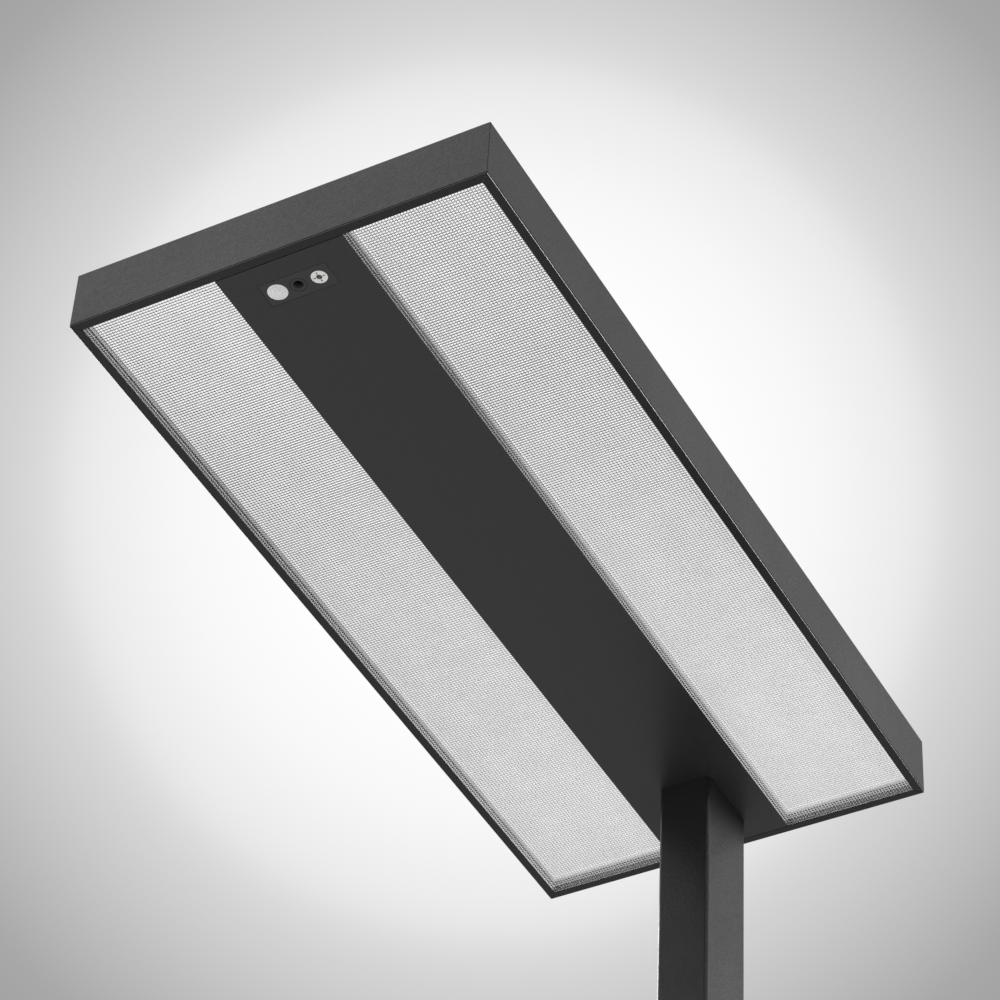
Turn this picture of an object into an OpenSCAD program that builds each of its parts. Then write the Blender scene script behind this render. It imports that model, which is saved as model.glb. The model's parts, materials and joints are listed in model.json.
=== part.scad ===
// Office floor lamp: a flat light head on a square-cornered pole, standing on a steel plate.
// Millimetres. +Z is up, the head's sensor end points to -Y and the pole stands near its +Y end.
// The origin is on the floor, under the middle of the head.

/* [Lamp] */
// Height from the floor to the top of the head
lamp_h = 1950; // [1700:10:2100]

/* [Head frame] */
// Length of the head
head_l = 658; // [620:2:760]
// Width of the head
head_w = 300; // [290:2:360]
// Height of the head
head_t = 47; // [44:0.5:60]
// Wall of the frame profile
frame_wall = 1.8; // [1.4:0.1:2.2]
// Width of the lip that shows round the underside
lip_w = 6; // [4.5:0.5:8]
// Thickness of the lip and of the centre strip
lip_t = 1; // [0.8:0.1:2]
// Thickness of the ledges inside the profile
ledge_t = 1.6; // [1.2:0.1:2]
// Width of the top ledge that takes the cover's screws
cover_ledge_w = 11; // [10:0.5:12]
// Rounding of the profile's outer long edges
frame_edge_r = 0.5; // [0.3:0.1:1]
// Height of the shadow groove above the underside, on the outer faces
groove_up = 1.2; // [1:0.1:3]
// Width of the shadow groove
groove_w = 0.5; // [0.3:0.1:0.8]
// Depth of the shadow groove
groove_d = 0.6; // [0.3:0.1:0.8]
// Thickness of the top cover
cover_t = 1.5; // [1:0.1:2]
// Leg length of a corner bracket
bracket_leg = 30; // [20:1:40]
// Height of a corner bracket
bracket_h = 9; // [6:0.5:9]
// Thickness of a corner bracket
bracket_t = 2; // [1.5:0.1:3]

/* [Light chambers] */
// Width of the closed strip between the two light openings
strip_w = 92; // [88:1:100]
// Thickness of the prism panels
prism_t = 2; // [1.5:0.1:3]
// Height of the diffusers above the underside
diffuser_z = 15.5; // [12:0.5:18]
// Thickness of the diffusers
diffuser_t = 2; // [1.5:0.1:3]
// Height of the carrier deck above the underside
deck_z = 28; // [26:0.5:29]
// Thickness of the carrier deck
deck_t = 1.5; // [1:0.1:2]
// Width of a light board
board_w = 14; // [10:1:18]
// Thickness of a light board without its chips
board_t = 1.6; // [1:0.1:2]
// Distance from chip to chip along a board
chip_pitch = 20; // [15:1:30]
// Width of an uplight window
window_w = 80; // [60:1:82]
// Length of an uplight window
window_l = 500; // [400:5:540]
// Thickness of the uplight covers
uplight_t = 2; // [1.5:0.1:2.5]
// How far an uplight cover reaches past its window
uplight_lap = 4; // [2:0.5:4]

/* [Centre channel] */
// Distance between the inner edges of the rails' flanges
channel_clear = 60; // [58:1:62]
// Width of a rail flange
flange_w = 10; // [9:0.5:11]
// Wall of a rail
rail_wall = 1.5; // [1.2:0.1:2]
// Length of the light driver's case
driver_l = 240; // [180:5:260]
// Width of the driver's case
driver_w = 44; // [36:1:50]
// Height of the driver's case
driver_h = 20; // [16:0.5:22]

/* [Pole] */
// Width of the pole, across the head
pole_w = 39; // [36:0.5:44]
// Depth of the pole, along the head
pole_d = 60; // [54:0.5:64]
// Wall of the pole
pole_wall = 2; // [1.6:0.1:2.4]
// Rounding of the pole's corners
pole_r = 3; // [1:0.5:4]
// Distance from the head's rear end to the pole's axis
pole_inset = 52; // [50:1:70]
// Depth of the upper spigot below the head
spigot_drop = 40; // [30:1:60]
// Height of the lower spigot
foot_spigot_h = 80; // [70:1:84]
// Bore for the lead through the upper spigot
lead_bore_d = 14; // [11:0.5:15]
// Diameter of the inner supply lead
lead_d = 7; // [6:0.5:8]

/* [Base] */
// Width of the base plate
base_w = 280; // [240:5:290]
// Length of the base plate
base_l = 420; // [380:5:480]
// Thickness of the base plate
base_t = 10; // [8:0.5:14]
// Corner radius of the base plate
base_r = 8; // [3:0.5:20]
// Diameter of a foot pad
pad_d = 24; // [18:1:30]
// Thickness of a foot pad
pad_t = 3; // [2.5:0.1:5]
// Depth of a pad's seat in the plate
pad_seat = 1; // [0.5:0.1:1.5]
// Distance from the plate's edges to a pad's centre
pad_inset = 24; // [20:1:40]

/* [Sensor] */
// Distance from the head's front end to the sensor's middle
sensor_inset = 31; // [28:0.5:60]
// Width of the sensor bezel
bezel_w = 48.6; // [48.6:0.2:50]
// Length of the sensor bezel
bezel_l = 19.2; // [18.6:0.2:22]
// Distance between the sensor's three eyes
eye_pitch = 15; // [14.6:0.1:15.2]
// Diameter of the motion lens
pir_d = 13.3; // [11:0.1:14]
// How far the motion lens stands out
pir_rise = 2; // [1:0.1:4]
// Diameter of the photocell tube and of the adjuster
eye_d = 10.8; // [10:0.1:11]
// Diameter of the photocell's opening
photocell_bore_d = 6; // [4.6:0.1:6.4]
// Width of the adjuster's four slots
slot_w = 0.7; // [0.5:0.1:1.2]

/* [Push button] */
// Height of the push button above the floor
button_z = 1100; // [900:10:1250]
// Diameter of the button's cap
button_d = 12.2; // [10:0.1:13]
// Travel of the button
button_travel = 1.5; // [1:0.1:2]
// Diameter of the button's bezel
button_bezel_d = 21; // [19:0.5:24]
// Diameter of the bezel's threaded sleeve
sleeve_d = 16; // [15.6:0.1:17]

/* [Cable gland] */
// Height of the gland above the floor
gland_z = 112; // [111:1:160]
// Bore of the gland's seal, for the mains lead
seal_bore_d = 7.5; // [6:0.1:8]
// Diameter of the gland's thread
gland_d = 15.8; // [15:0.1:17]
// Across flats of the gland's hexagon
gland_af = 19; // [18.6:0.1:22]

/* [Fits] */
// Gap round a flat piece that drops in a recess
seat_gap = 0.2; // [0.1:0.05:0.4]
// Gap at each end of the centre strip
strip_gap = 0.4; // [0.2:0.05:0.6]
// Radial gap of a screw in its hole
hole_gap = 0.1; // [0.05:0.05:0.2]
// Radial gap of a turning or sliding piece
run_gap = 0.08; // [0.04:0.01:0.1]

/* [Hidden] */
$fn = 48;
cut = 1; // how far a cutting tool runs past the face it opens
large_corner_n = 8; // chords to a corner of the pole and the base plate

powder_black = [0.09, 0.09, 0.095];
plastic_black = [0.05, 0.05, 0.05];
opal_white = [0.93, 0.93, 0.91];
prism_clear = [0.86, 0.88, 0.9];
zinc_grey = [0.7, 0.71, 0.73];
board_white = [0.95, 0.95, 0.92];
rubber_black = [0.03, 0.03, 0.03];

// Levels of the head, from the floor
head_z = lamp_h - head_t;
prism_z = head_z + lip_t;
diff_z = head_z + diffuser_z;
deck_bottom = head_z + deck_z;
deck_top = deck_bottom + deck_t;
cover_z = lamp_h - cover_t;
plate_t = 4;
plate_top = deck_top + plate_t;

// Places in plan
wall_in_x = head_w / 2 - frame_wall;
wall_in_y = head_l / 2 - frame_wall;
lip_in_x = head_w / 2 - lip_w;
lip_in_y = head_l / 2 - lip_w;
web_out = channel_clear / 2 + flange_w + rail_wall;
web_in = web_out - rail_wall;
flange_x = channel_clear / 2 + flange_w / 2;
ledge_lap = lip_w - frame_wall;
chamber_x = (web_out + ledge_lap + lip_in_x) / 2;
chamber_w = lip_in_x - web_out - ledge_lap;
pole_y = head_l / 2 - pole_inset;
pole_back_y = pole_y + pole_d / 2;
pole_front_y = pole_y - pole_d / 2;
sensor_y = -head_l / 2 + sensor_inset;
window_x = (strip_w / 2 + head_w / 2 - cover_ledge_w) / 2;
window_span = min(window_w, head_w / 2 - cover_ledge_w - strip_w / 2 - 2 * uplight_lap - 1);
down_board_x = chamber_w / 4;
board_l = min(window_l + 100, 2 * lip_in_y - 40);
chip_t = 0.7;
chip_w = 3;

// Levels of the base
base_z = pad_t - pad_seat;
base_top = base_z + base_t;
base_y = head_l / 2 - base_l / 2;
connector_h = 36;

// Screws: shank diameter, head diameter, head height
m3 = [3, 5.5, 2];
m3_flat = [3, 6, 1.4];
m4 = [4, 7.6, 2.4];
m5 = [5, 9.5, 2.7];
m6 = [6, 10, 6];
m8_flat = [8, 16, 4.4];

// Rows of fasteners along the head
cover_screw_ys = [-0.46, -0.155, 0.155, 0.46] * head_l;
rail_screw_ys = [-0.42, -0.2, 0.02, 0.2] * head_l;
strip_stud_ys = [-0.36, -0.13, 0.09, 0.28] * head_l;

// Corners of a rectangle with rounded corners, n chords to a corner
function round_rect(w, l, r, n = 5) = [
    for (c = [[1, 1, 0], [-1, 1, 90], [-1, -1, 180], [1, -1, 270]])
        for (i = [0:n])
            let (a = c[2] + 90 * i / n)
            [c[0] * (w / 2 - r) + r * cos(a), c[1] * (l / 2 - r) + r * sin(a)],
];

// Copies children at the four points (+-x, +-y)
module four(x, y) {
    for (sx = [-1, 1], sy = [-1, 1])
        translate([sx * x, sy * y, 0]) children();
}

// Copies children at +-x on each y of a list
module along(x, ys) {
    for (sx = [-1, 1], y = ys)
        translate([sx * x, y, 0]) children();
}

module block(x0, x1, y0, y1, z0, z1) {
    translate([x0, y0, z0]) cube([x1 - x0, y1 - y0, z1 - z0]);
}

module mirror_x(side) {
    mirror([side < 0 ? 1 : 0, 0, 0]) children();
}

// A pan or cap screw: the head's seat is at z = 0 and the shank points down
module screw(size, len) {
    cylinder(d = size[1], h = size[2]);
    translate([0, 0, -len]) cylinder(d = size[0], h = len + size[2] / 2);
}

// The same with a recess for the key, across flats key
module key_screw(size, len, key) {
    difference() {
        screw(size, len);
        translate([0, 0, size[2] - size[2] * 0.6]) cylinder(d = key, h = size[2], $fn = 6);
    }
}

// A flat-head screw whose head ends flush at z = 0, the shank pointing down
module flat_screw(size, len, key) {
    difference() {
        union() {
            translate([0, 0, -size[2]]) cylinder(d1 = size[0], d2 = size[1], h = size[2]);
            translate([0, 0, -len]) cylinder(d = size[0], h = len - size[2] / 2);
        }
        translate([0, 0, -size[2] * 0.6]) cylinder(d = key, h = size[2], $fn = 6);
    }
}

// The hole for a flat-head screw, opened by the screw gap all round
module flat_hole(size, len) {
    translate([0, 0, -size[2]])
        cylinder(d1 = size[0] + 2 * hole_gap, d2 = size[1] + 2 * hole_gap, h = size[2] + 0.001);
    translate([0, 0, -len]) cylinder(d = size[0] + 2 * hole_gap, h = len);
    cylinder(d = size[1] + 2 * hole_gap, h = cut);
}

module hole(size, z0, z1) {
    translate([0, 0, z0]) cylinder(d = size[0] + 2 * hole_gap, h = z1 - z0);
}

// Section of the frame profile: x is the distance in from the outer face, y the height
module frame_section() {
    r = frame_edge_r;
    arc = [for (i = [0:4]) 90 * i / 4];
    levels = [
        [lip_w, diffuser_z - ledge_t, diffuser_z],
        [lip_w, deck_z - ledge_t, deck_z],
        [cover_ledge_w, head_t - cover_t - ledge_t, head_t - cover_t],
    ];
    polygon(concat(
        [for (a = arc) [r - r * cos(a), r - r * sin(a)]],
        [[lip_w, 0], [lip_w, lip_t], [frame_wall, lip_t]],
        [for (l = levels, p = [[frame_wall, l[1]], [l[0], l[1]], [l[0], l[2]], [frame_wall, l[2]]]) p],
        [[frame_wall, head_t]],
        [for (a = arc) [r - r * sin(a), head_t - r + r * cos(a)]],
        [[0, groove_up + groove_w], [groove_d, groove_up + groove_w], [groove_d, groove_up], [0, groove_up]]
    ));
}

// One mitred bar of the frame: runs along Y, its outer face at x = across / 2
module frame_bar(across, len) {
    mitre = cover_ledge_w + 1;
    translate([0, 0, head_z])
        intersection() {
            translate([across / 2, -len / 2, 0])
                rotate([90, 0, 180])
                    linear_extrude(len) frame_section();
            linear_extrude(head_t)
                polygon([
                    [across / 2, -len / 2], [across / 2, len / 2],
                    [across / 2 - mitre, len / 2 - mitre], [across / 2 - mitre, -len / 2 + mitre],
                ]);
        }
}

bracket_z = deck_top + 1.5;
bracket_rise = min(bracket_h, cover_z - ledge_t - 0.5 - bracket_z);
bracket_screw_z = bracket_z + bracket_rise / 2;
bracket_screw_at = bracket_leg * 0.65;
bracket_bite = frame_wall * 0.6;

// Places children at each bracket screw of one leg, pointing out through the wall
module bracket_screw_side(across, len) {
    for (sy = [-1, 1])
        translate([across / 2 - frame_wall, sy * (len / 2 - frame_wall - bracket_screw_at), bracket_screw_z])
            rotate([0, -90, 0]) children();
}

module frame_side(side) {
    color(powder_black)
        mirror_x(side)
            difference() {
                frame_bar(head_w, head_l);
                bracket_screw_side(head_w, head_l)
                    hole(m3, -bracket_bite, cut);
                cover_screw_holes(1);
            }
}

module frame_end(side) {
    color(powder_black)
        rotate([0, 0, side * 90])
            difference() {
                frame_bar(head_l, head_w);
                bracket_screw_side(head_l, head_w)
                    hole(m3, -bracket_bite, cut);
            }
}

module frame_side_left() { frame_side(-1); }
module frame_side_right() { frame_side(1); }
module frame_end_front() { frame_end(-1); }
module frame_end_rear() { frame_end(1); }

module corner_brackets() {
    color(zinc_grey)
        for (sx = [0, 1], sy = [0, 1])
            mirror([sx, 0, 0]) mirror([0, sy, 0])
                difference() {
                    union() {
                        block(wall_in_x - bracket_t, wall_in_x, wall_in_y - bracket_leg, wall_in_y,
                              bracket_z, bracket_z + bracket_rise);
                        block(wall_in_x - bracket_leg, wall_in_x, wall_in_y - bracket_t, wall_in_y,
                              bracket_z, bracket_z + bracket_rise);
                    }
                    bracket_screws_at_corner() hole(m3, -cut, bracket_t + cut);
                }
}

// The two screws of the +X +Y corner
module bracket_screws_at_corner() {
    translate([wall_in_x, wall_in_y - bracket_screw_at, bracket_screw_z]) rotate([0, -90, 0]) children();
    translate([wall_in_x - bracket_screw_at, wall_in_y, bracket_screw_z]) rotate([90, 0, 0]) children();
}

module corner_screws() {
    color(zinc_grey)
        for (sx = [0, 1], sy = [0, 1])
            mirror([sx, 0, 0]) mirror([0, sy, 0])
                bracket_screws_at_corner()
                    translate([0, 0, bracket_t]) screw(m3, bracket_t + bracket_bite - hole_gap);
}

cover_screw_x = head_w / 2 - (frame_wall + cover_ledge_w) / 2;
cover_screw_len = cover_t + ledge_t + 2;

// Holes for the cover's screws on the sides given
module cover_screw_holes(side) {
    for (y = cover_screw_ys)
        translate([side * cover_screw_x, y, lamp_h]) flat_hole(m3_flat, cover_screw_len + cut);
}

vent_l = 34;
vent_w = 3;
vent_pitch = 12;
vent_n = 18;
vent_y = -40;

module top_cover() {
    color(powder_black)
        difference() {
            block(-wall_in_x + seat_gap, wall_in_x - seat_gap, -wall_in_y + seat_gap, wall_in_y - seat_gap,
                  cover_z, lamp_h);
            for (side = [-1, 1]) {
                translate([side * window_x, 0, cover_z - cut])
                    linear_extrude(cover_t + 2 * cut) polygon(round_rect(window_span, window_l, 3));
                cover_screw_holes(side);
            }
            for (i = [0:vent_n - 1])
                translate([0, vent_y + (i - (vent_n - 1) / 2) * vent_pitch, cover_z - cut])
                    linear_extrude(cover_t + 2 * cut) polygon(round_rect(vent_l, vent_w, vent_w * 0.49));
        }
}

module top_cover_screws() {
    color(zinc_grey)
        along(cover_screw_x, cover_screw_ys)
            translate([0, 0, lamp_h]) flat_screw(m3_flat, cover_screw_len, 2);
}

module uplight_cover(side) {
    color(opal_white)
        translate([side * window_x, 0, cover_z - uplight_t])
            linear_extrude(uplight_t)
                polygon(round_rect(window_span + 2 * uplight_lap, window_l + 2 * uplight_lap, 3));
}

module uplight_cover_left() { uplight_cover(-1); }
module uplight_cover_right() { uplight_cover(1); }

pole_bore_r = max(pole_r - pole_wall, 0.4);
spigot_w = pole_w - 2 * pole_wall - 2 * seat_gap;
spigot_d = pole_d - 2 * pole_wall - 2 * seat_gap;
spigot_r = max(pole_bore_r, 1);
mount_screw_x = spigot_w / 2 - 6.5;
mount_screw_y = spigot_d / 2 - 7.5;
plate_w = 2 * (channel_clear / 2 + flange_w);
plate_l = 100;
plate_y = min(pole_y, lip_in_y - plate_l / 2 - 1);
plate_screw_ys = [plate_y - plate_l / 2 + 8, plate_y + plate_l / 2 - 8];
driver_y = -40;
tab_l = 10;
tab_t = 2;
driver_screw_x = driver_w / 2 - 6;
driver_screw_y = driver_l / 2 + tab_l / 2;

module driver_screw_places() {
    translate([0, driver_y, 0]) four(driver_screw_x, driver_screw_y) children();
}

module mount_screw_places() {
    translate([0, pole_y, 0]) four(mount_screw_x, mount_screw_y) children();
}

module carrier_deck() {
    color(board_white)
        difference() {
            block(-wall_in_x + seat_gap, wall_in_x - seat_gap, -wall_in_y + seat_gap, wall_in_y - seat_gap,
                  deck_bottom, deck_top);
            mount_screw_places() hole(m6, deck_bottom - cut, deck_top + cut);
            along(flange_x, plate_screw_ys) hole(m4, deck_bottom - cut, deck_top + cut);
            along(flange_x, rail_screw_ys) hole(m3, deck_bottom - cut, deck_top + cut);
            driver_screw_places() hole(m3, deck_bottom - cut, deck_top + cut);
            translate([0, pole_y, deck_bottom - cut]) cylinder(d = lead_bore_d, h = deck_t + 2 * cut);
        }
}

// A light board lying on z = 0 with its chips on top
module led_board(len) {
    n = floor((len - chip_pitch) / chip_pitch);
    block(-board_w / 2, board_w / 2, -len / 2, len / 2, 0, board_t);
    for (i = [0:n])
        translate([-chip_w / 2, (i - n / 2) * chip_pitch - chip_w / 2, board_t / 2])
            cube([chip_w, chip_w, board_t / 2 + chip_t]);
}

module led_boards_down() {
    color(board_white)
        for (side = [-1, 1], row = [-1, 1])
            translate([side * chamber_x + row * down_board_x, 0, deck_bottom])
                mirror([0, 0, 1]) led_board(board_l);
}

module led_boards_up() {
    color(board_white)
        for (side = [-1, 1])
            translate([side * window_x, 0, deck_top]) led_board(window_l - 20);
}

// A sheet that fills one light chamber, resting on the ledges round it
module chamber_sheet(side, z, t) {
    mirror_x(side)
        block(web_out + seat_gap, wall_in_x - seat_gap, -wall_in_y + seat_gap, wall_in_y - seat_gap,
              z, z + t);
}

module diffuser_left() { color(opal_white) chamber_sheet(-1, diff_z, diffuser_t); }
module diffuser_right() { color(opal_white) chamber_sheet(1, diff_z, diffuser_t); }
module prism_panel_left() { color(prism_clear) chamber_sheet(-1, prism_z, prism_t); }
module prism_panel_right() { color(prism_clear) chamber_sheet(1, prism_z, prism_t); }

stud_h = 7;
nut_h = 2.4;
nut_af = 5.5;

module centre_strip() {
    color(powder_black) {
        difference() {
            block(-strip_w / 2, strip_w / 2, -lip_in_y + strip_gap, lip_in_y - strip_gap, head_z, prism_z);
            block(-bezel_w / 2 - seat_gap, bezel_w / 2 + seat_gap,
                  sensor_y - bezel_l / 2 - seat_gap, sensor_y + bezel_l / 2 + seat_gap,
                  head_z - cut, prism_z + cut);
            translate([0, pole_y, head_z - cut])
                linear_extrude(lip_t + 2 * cut)
                    polygon(round_rect(pole_w + 2 * seat_gap, pole_d + 2 * seat_gap, pole_r + seat_gap,
                                       large_corner_n));
        }
        along(flange_x, strip_stud_ys)
            translate([0, 0, head_z + lip_t / 2]) cylinder(d = m3[0], h = lip_t / 2 + stud_h);
    }
}

module strip_nuts() {
    color(zinc_grey)
        along(flange_x, strip_stud_ys)
            translate([0, 0, prism_z + rail_wall])
                difference() {
                    cylinder(d = nut_af / cos(30), h = nut_h, $fn = 6);
                    translate([0, 0, -cut]) cylinder(d = m3[0] + 2 * hole_gap, h = nut_h + 2 * cut);
                }
}

// A rail of the centre channel: a channel section with a ledge for the diffuser
module channel_rail(side) {
    rail_l = 2 * (lip_in_y - seat_gap);
    h = deck_z - lip_t;
    color(powder_black)
        mirror_x(side)
            difference() {
                translate([0, -rail_l / 2, prism_z])
                    rotate([90, 0, 0]) mirror([0, 0, 1])
                        linear_extrude(rail_l)
                            polygon([
                                [channel_clear / 2, 0], [web_out, 0],
                                [web_out, diffuser_z - lip_t - ledge_t],
                                [web_out + ledge_lap, diffuser_z - lip_t - ledge_t],
                                [web_out + ledge_lap, diffuser_z - lip_t], [web_out, diffuser_z - lip_t],
                                [web_out, h], [channel_clear / 2, h], [channel_clear / 2, h - rail_wall],
                                [web_in, h - rail_wall], [web_in, rail_wall], [channel_clear / 2, rail_wall],
                            ]);
                along(flange_x, strip_stud_ys) hole(m3, prism_z - cut, prism_z + rail_wall + cut);
                along(flange_x, rail_screw_ys) hole(m3, deck_bottom - rail_wall - cut, deck_bottom + cut);
                along(flange_x, plate_screw_ys) hole(m4, deck_bottom - rail_wall - cut, deck_bottom + cut);
            }
}

module channel_rail_left() { channel_rail(-1); }
module channel_rail_right() { channel_rail(1); }

module rail_screws() {
    color(zinc_grey)
        along(flange_x, rail_screw_ys)
            translate([0, 0, deck_top]) screw(m3, deck_t + rail_wall + 1.5);
}

module led_driver() {
    color(opal_white)
        translate([0, driver_y, 0])
            difference() {
                union() {
                    block(-driver_w / 2, driver_w / 2, -driver_l / 2, driver_l / 2,
                          deck_bottom - driver_h, deck_bottom);
                    block(-driver_w / 2, driver_w / 2, -driver_l / 2 - tab_l, driver_l / 2 + tab_l,
                          deck_bottom - tab_t, deck_bottom);
                }
                four(driver_screw_x, driver_screw_y) hole(m3, deck_bottom - tab_t - cut, deck_bottom + cut);
            }
}

module driver_screws() {
    color(zinc_grey)
        driver_screw_places()
            translate([0, 0, deck_bottom - tab_t]) mirror([0, 0, 1]) screw(m3, tab_t + deck_t + 1.5);
}

module mount_plate() {
    color(zinc_grey)
        difference() {
            block(-plate_w / 2, plate_w / 2, plate_y - plate_l / 2, plate_y + plate_l / 2,
                  deck_top, plate_top);
            mount_screw_places() hole(m6, deck_top - cut, plate_top + cut);
            along(flange_x, plate_screw_ys) hole(m4, deck_top - cut, plate_top + cut);
            translate([0, pole_y, deck_top - cut]) cylinder(d = lead_bore_d, h = plate_t + 2 * cut);
        }
}

mount_screw_bite = 14;

module mount_screws() {
    color(zinc_grey)
        mount_screw_places()
            translate([0, 0, plate_top]) key_screw(m6, plate_t + deck_t + mount_screw_bite, 5);
}

module plate_screws() {
    color(zinc_grey)
        along(flange_x, plate_screw_ys)
            translate([0, 0, plate_top]) screw(m4, plate_t + deck_t + rail_wall + 2);
}

spigot_screw_y = 15;
spigot_screw_z = head_z + 8;
spigot_screw_bite = 5;

// Places children at the four cross screws of the upper spigot, pointing out of the pole
module spigot_screw_places() {
    for (sx = [-1, 1], sy = [-1, 1])
        translate([sx * pole_w / 2, pole_y + sy * spigot_screw_y, spigot_screw_z])
            rotate([0, sx * 90, 0]) children();
}

module head_spigot() {
    color(zinc_grey)
        difference() {
            translate([0, pole_y, head_z - spigot_drop])
                linear_extrude(spigot_drop + deck_z) polygon(round_rect(spigot_w, spigot_d, spigot_r));
            translate([0, pole_y, head_z - spigot_drop - cut])
                cylinder(d = lead_bore_d, h = spigot_drop + deck_z + 2 * cut);
            mount_screw_places() hole(m6, deck_bottom - mount_screw_bite - 1, deck_bottom + cut);
            spigot_screw_places() hole(m5, -pole_wall - seat_gap - spigot_screw_bite, cut);
        }
}

module spigot_screws() {
    color(zinc_grey)
        spigot_screw_places() key_screw(m5, pole_wall + spigot_screw_bite, 3);
}

terminal_h = 7;

module head_terminal() {
    color(opal_white)
        translate([0, pole_y, plate_top])
            difference() {
                block(-mount_screw_x - 12, mount_screw_x + 12, -lead_bore_d / 2 - 4, lead_bore_d / 2 + 4,
                      0, terminal_h);
                translate([0, 0, -cut]) cylinder(d = lead_d + 2 * seat_gap, h = 4 + cut);
                for (i = [-2:2])
                    translate([i * 7, 0, terminal_h - 2]) cylinder(d = 3.4, h = 2 + cut);
            }
}

connector_z = base_top + foot_spigot_h;

module supply_lead() {
    color(rubber_black)
        translate([0, pole_y, connector_z + connector_h])
            cylinder(d = lead_d, h = plate_top + 4 - seat_gap - connector_z - connector_h);
}

// Levels of the sensor above the head's underside
bezel_lap = 3;
bezel_top = lip_t + 2.5;
eye_flange_t = 1;
sensor_board_z = bezel_top + 8;
sensor_board_t = 1.6;
sensor_roof_t = 1.5;
sensor_top = sensor_board_z + sensor_board_t + sensor_roof_t;
sensor_half_x = bezel_w / 2 + bezel_lap;
sensor_half_y = bezel_l / 2 + bezel_lap;
sensor_post_w = 3.9;
sensor_wall = 1.2;
m2 = [2, 3.4, 1.4];

module at_sensor(eye = 0) {
    translate([eye * eye_pitch, sensor_y, head_z]) children();
}

module sensor_screw_places() {
    for (sx = [-1, 1])
        translate([sx * (sensor_half_x - sensor_post_w / 2), 0, 0]) children();
}

module sensor_bezel() {
    color(plastic_black)
        at_sensor()
            difference() {
                union() {
                    block(-bezel_w / 2, bezel_w / 2, -bezel_l / 2, bezel_l / 2, 0, bezel_top);
                    block(-sensor_half_x, sensor_half_x, -sensor_half_y, sensor_half_y, lip_t, bezel_top);
                }
                translate([-eye_pitch, 0, -cut]) cylinder(d = pir_d + 2 * seat_gap, h = bezel_top + 2 * cut);
                translate([0, 0, -cut]) cylinder(d = eye_d + 2 * seat_gap, h = bezel_top + 2 * cut);
                translate([eye_pitch, 0, -cut]) cylinder(d = eye_d + 2 * run_gap, h = bezel_top + 2 * cut);
                sensor_screw_places() hole(m2, lip_t + 0.5, bezel_top + cut);
            }
}

pir_wall = 0.8;

// The motion lens: a tube with a flange, closed below by a shallow dome
module pir_lens() {
    r = pir_d / 2;
    ball = (r * r + pir_rise * pir_rise) / (2 * pir_rise);
    sweep = asin(r / ball);
    inner = r - pir_wall;
    ball_in = ball - pir_wall;
    sweep_in = asin(inner / ball_in);
    mid = ball - pir_rise;
    n = 10;
    color(opal_white)
        at_sensor(-1)
            rotate_extrude($fn = 64)
                polygon(concat(
                    [for (i = [0:n]) let (a = sweep * i / n) [ball * sin(a), mid - ball * cos(a)]],
                    [
                        [r, bezel_top], [r + 1.1, bezel_top], [r + 1.1, bezel_top + eye_flange_t],
                        [r, bezel_top + eye_flange_t], [r, sensor_board_z], [inner, sensor_board_z],
                    ],
                    [for (i = [n:-1:0]) let (a = sweep_in * i / n)
                        [ball_in * sin(a), mid - ball_in * cos(a)]]
                ));
}

module pir_detector() {
    can_h = 4.2;
    color(zinc_grey)
        at_sensor(-1)
            translate([0, 0, sensor_board_z - can_h]) {
                cylinder(d = 8.2, h = can_h);
                translate([0, 0, can_h - 0.5]) cylinder(d = 9.2, h = 0.5);
            }
}

module photocell_tube() {
    color(plastic_black)
        at_sensor()
            difference() {
                union() {
                    cylinder(d = eye_d, h = bezel_top + eye_flange_t);
                    translate([0, 0, bezel_top]) cylinder(d = eye_d + 1.8, h = eye_flange_t);
                    cylinder(d = photocell_bore_d + 2, h = sensor_board_z);
                }
                translate([0, 0, -cut]) cylinder(d = photocell_bore_d, h = sensor_board_z + 2 * cut);
            }
}

module photocell() {
    color(zinc_grey)
        at_sensor()
            translate([0, 0, sensor_board_z - 2.5]) cylinder(d = 4, h = 2.5);
}

dial_gap = 0.3;
dial_face = 0.2;
dial_rim_w = 0.8;
dial_rim_t = 1.3;
dial_shaft_d = 3;
dial_shaft_bite = 0.5;
dial_hub_d = 2.6;
dial_ring_d = 3.8;
slot_start = 2.3;
slot_end = 4.2;
slot_depth = 0.8;
hub_slot_turn = 45;
hub_slot_depth = 0.4;
dial_top = bezel_top + dial_gap + dial_rim_t;
trimmer_bottom = dial_top + 0.4;
trimmer_bore = 4;
shaft_end_gap = 0.2;
dial_shaft_top = trimmer_bottom + trimmer_bore - shaft_end_gap;

module adjust_dial() {
    color(opal_white)
        at_sensor(1) {
            difference() {
                union() {
                    translate([0, 0, dial_face]) cylinder(d = eye_d, h = dial_top - dial_face);
                    translate([0, 0, bezel_top + dial_gap])
                        cylinder(d = eye_d + 2 * dial_rim_w, h = dial_rim_t);
                    translate([0, 0, dial_top - dial_shaft_bite])
                        cylinder(d = dial_shaft_d, h = dial_shaft_top - dial_top + dial_shaft_bite);
                }
                for (a = [0:90:270])
                    rotate([0, 0, a])
                        block(slot_start, slot_end, -slot_w / 2, slot_w / 2, -cut, dial_face + slot_depth);
                translate([0, 0, -cut])
                    difference() {
                        cylinder(d = dial_ring_d, h = cut + dial_face + slot_depth);
                        cylinder(d = dial_hub_d, h = cut + dial_face + slot_depth);
                    }
                rotate([0, 0, hub_slot_turn])
                    block(-dial_hub_d / 2, dial_hub_d / 2, -slot_w / 2, slot_w / 2,
                          -cut, dial_face + hub_slot_depth);
            }
        }
}

module trimmer_body() {
    half = 4.5;
    color(board_white)
        at_sensor(1)
            difference() {
                block(-half, half, -half, half, trimmer_bottom, sensor_board_z);
                translate([0, 0, trimmer_bottom - cut])
                    cylinder(d = dial_shaft_d + 2 * run_gap, h = trimmer_bore + cut);
            }
}

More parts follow.
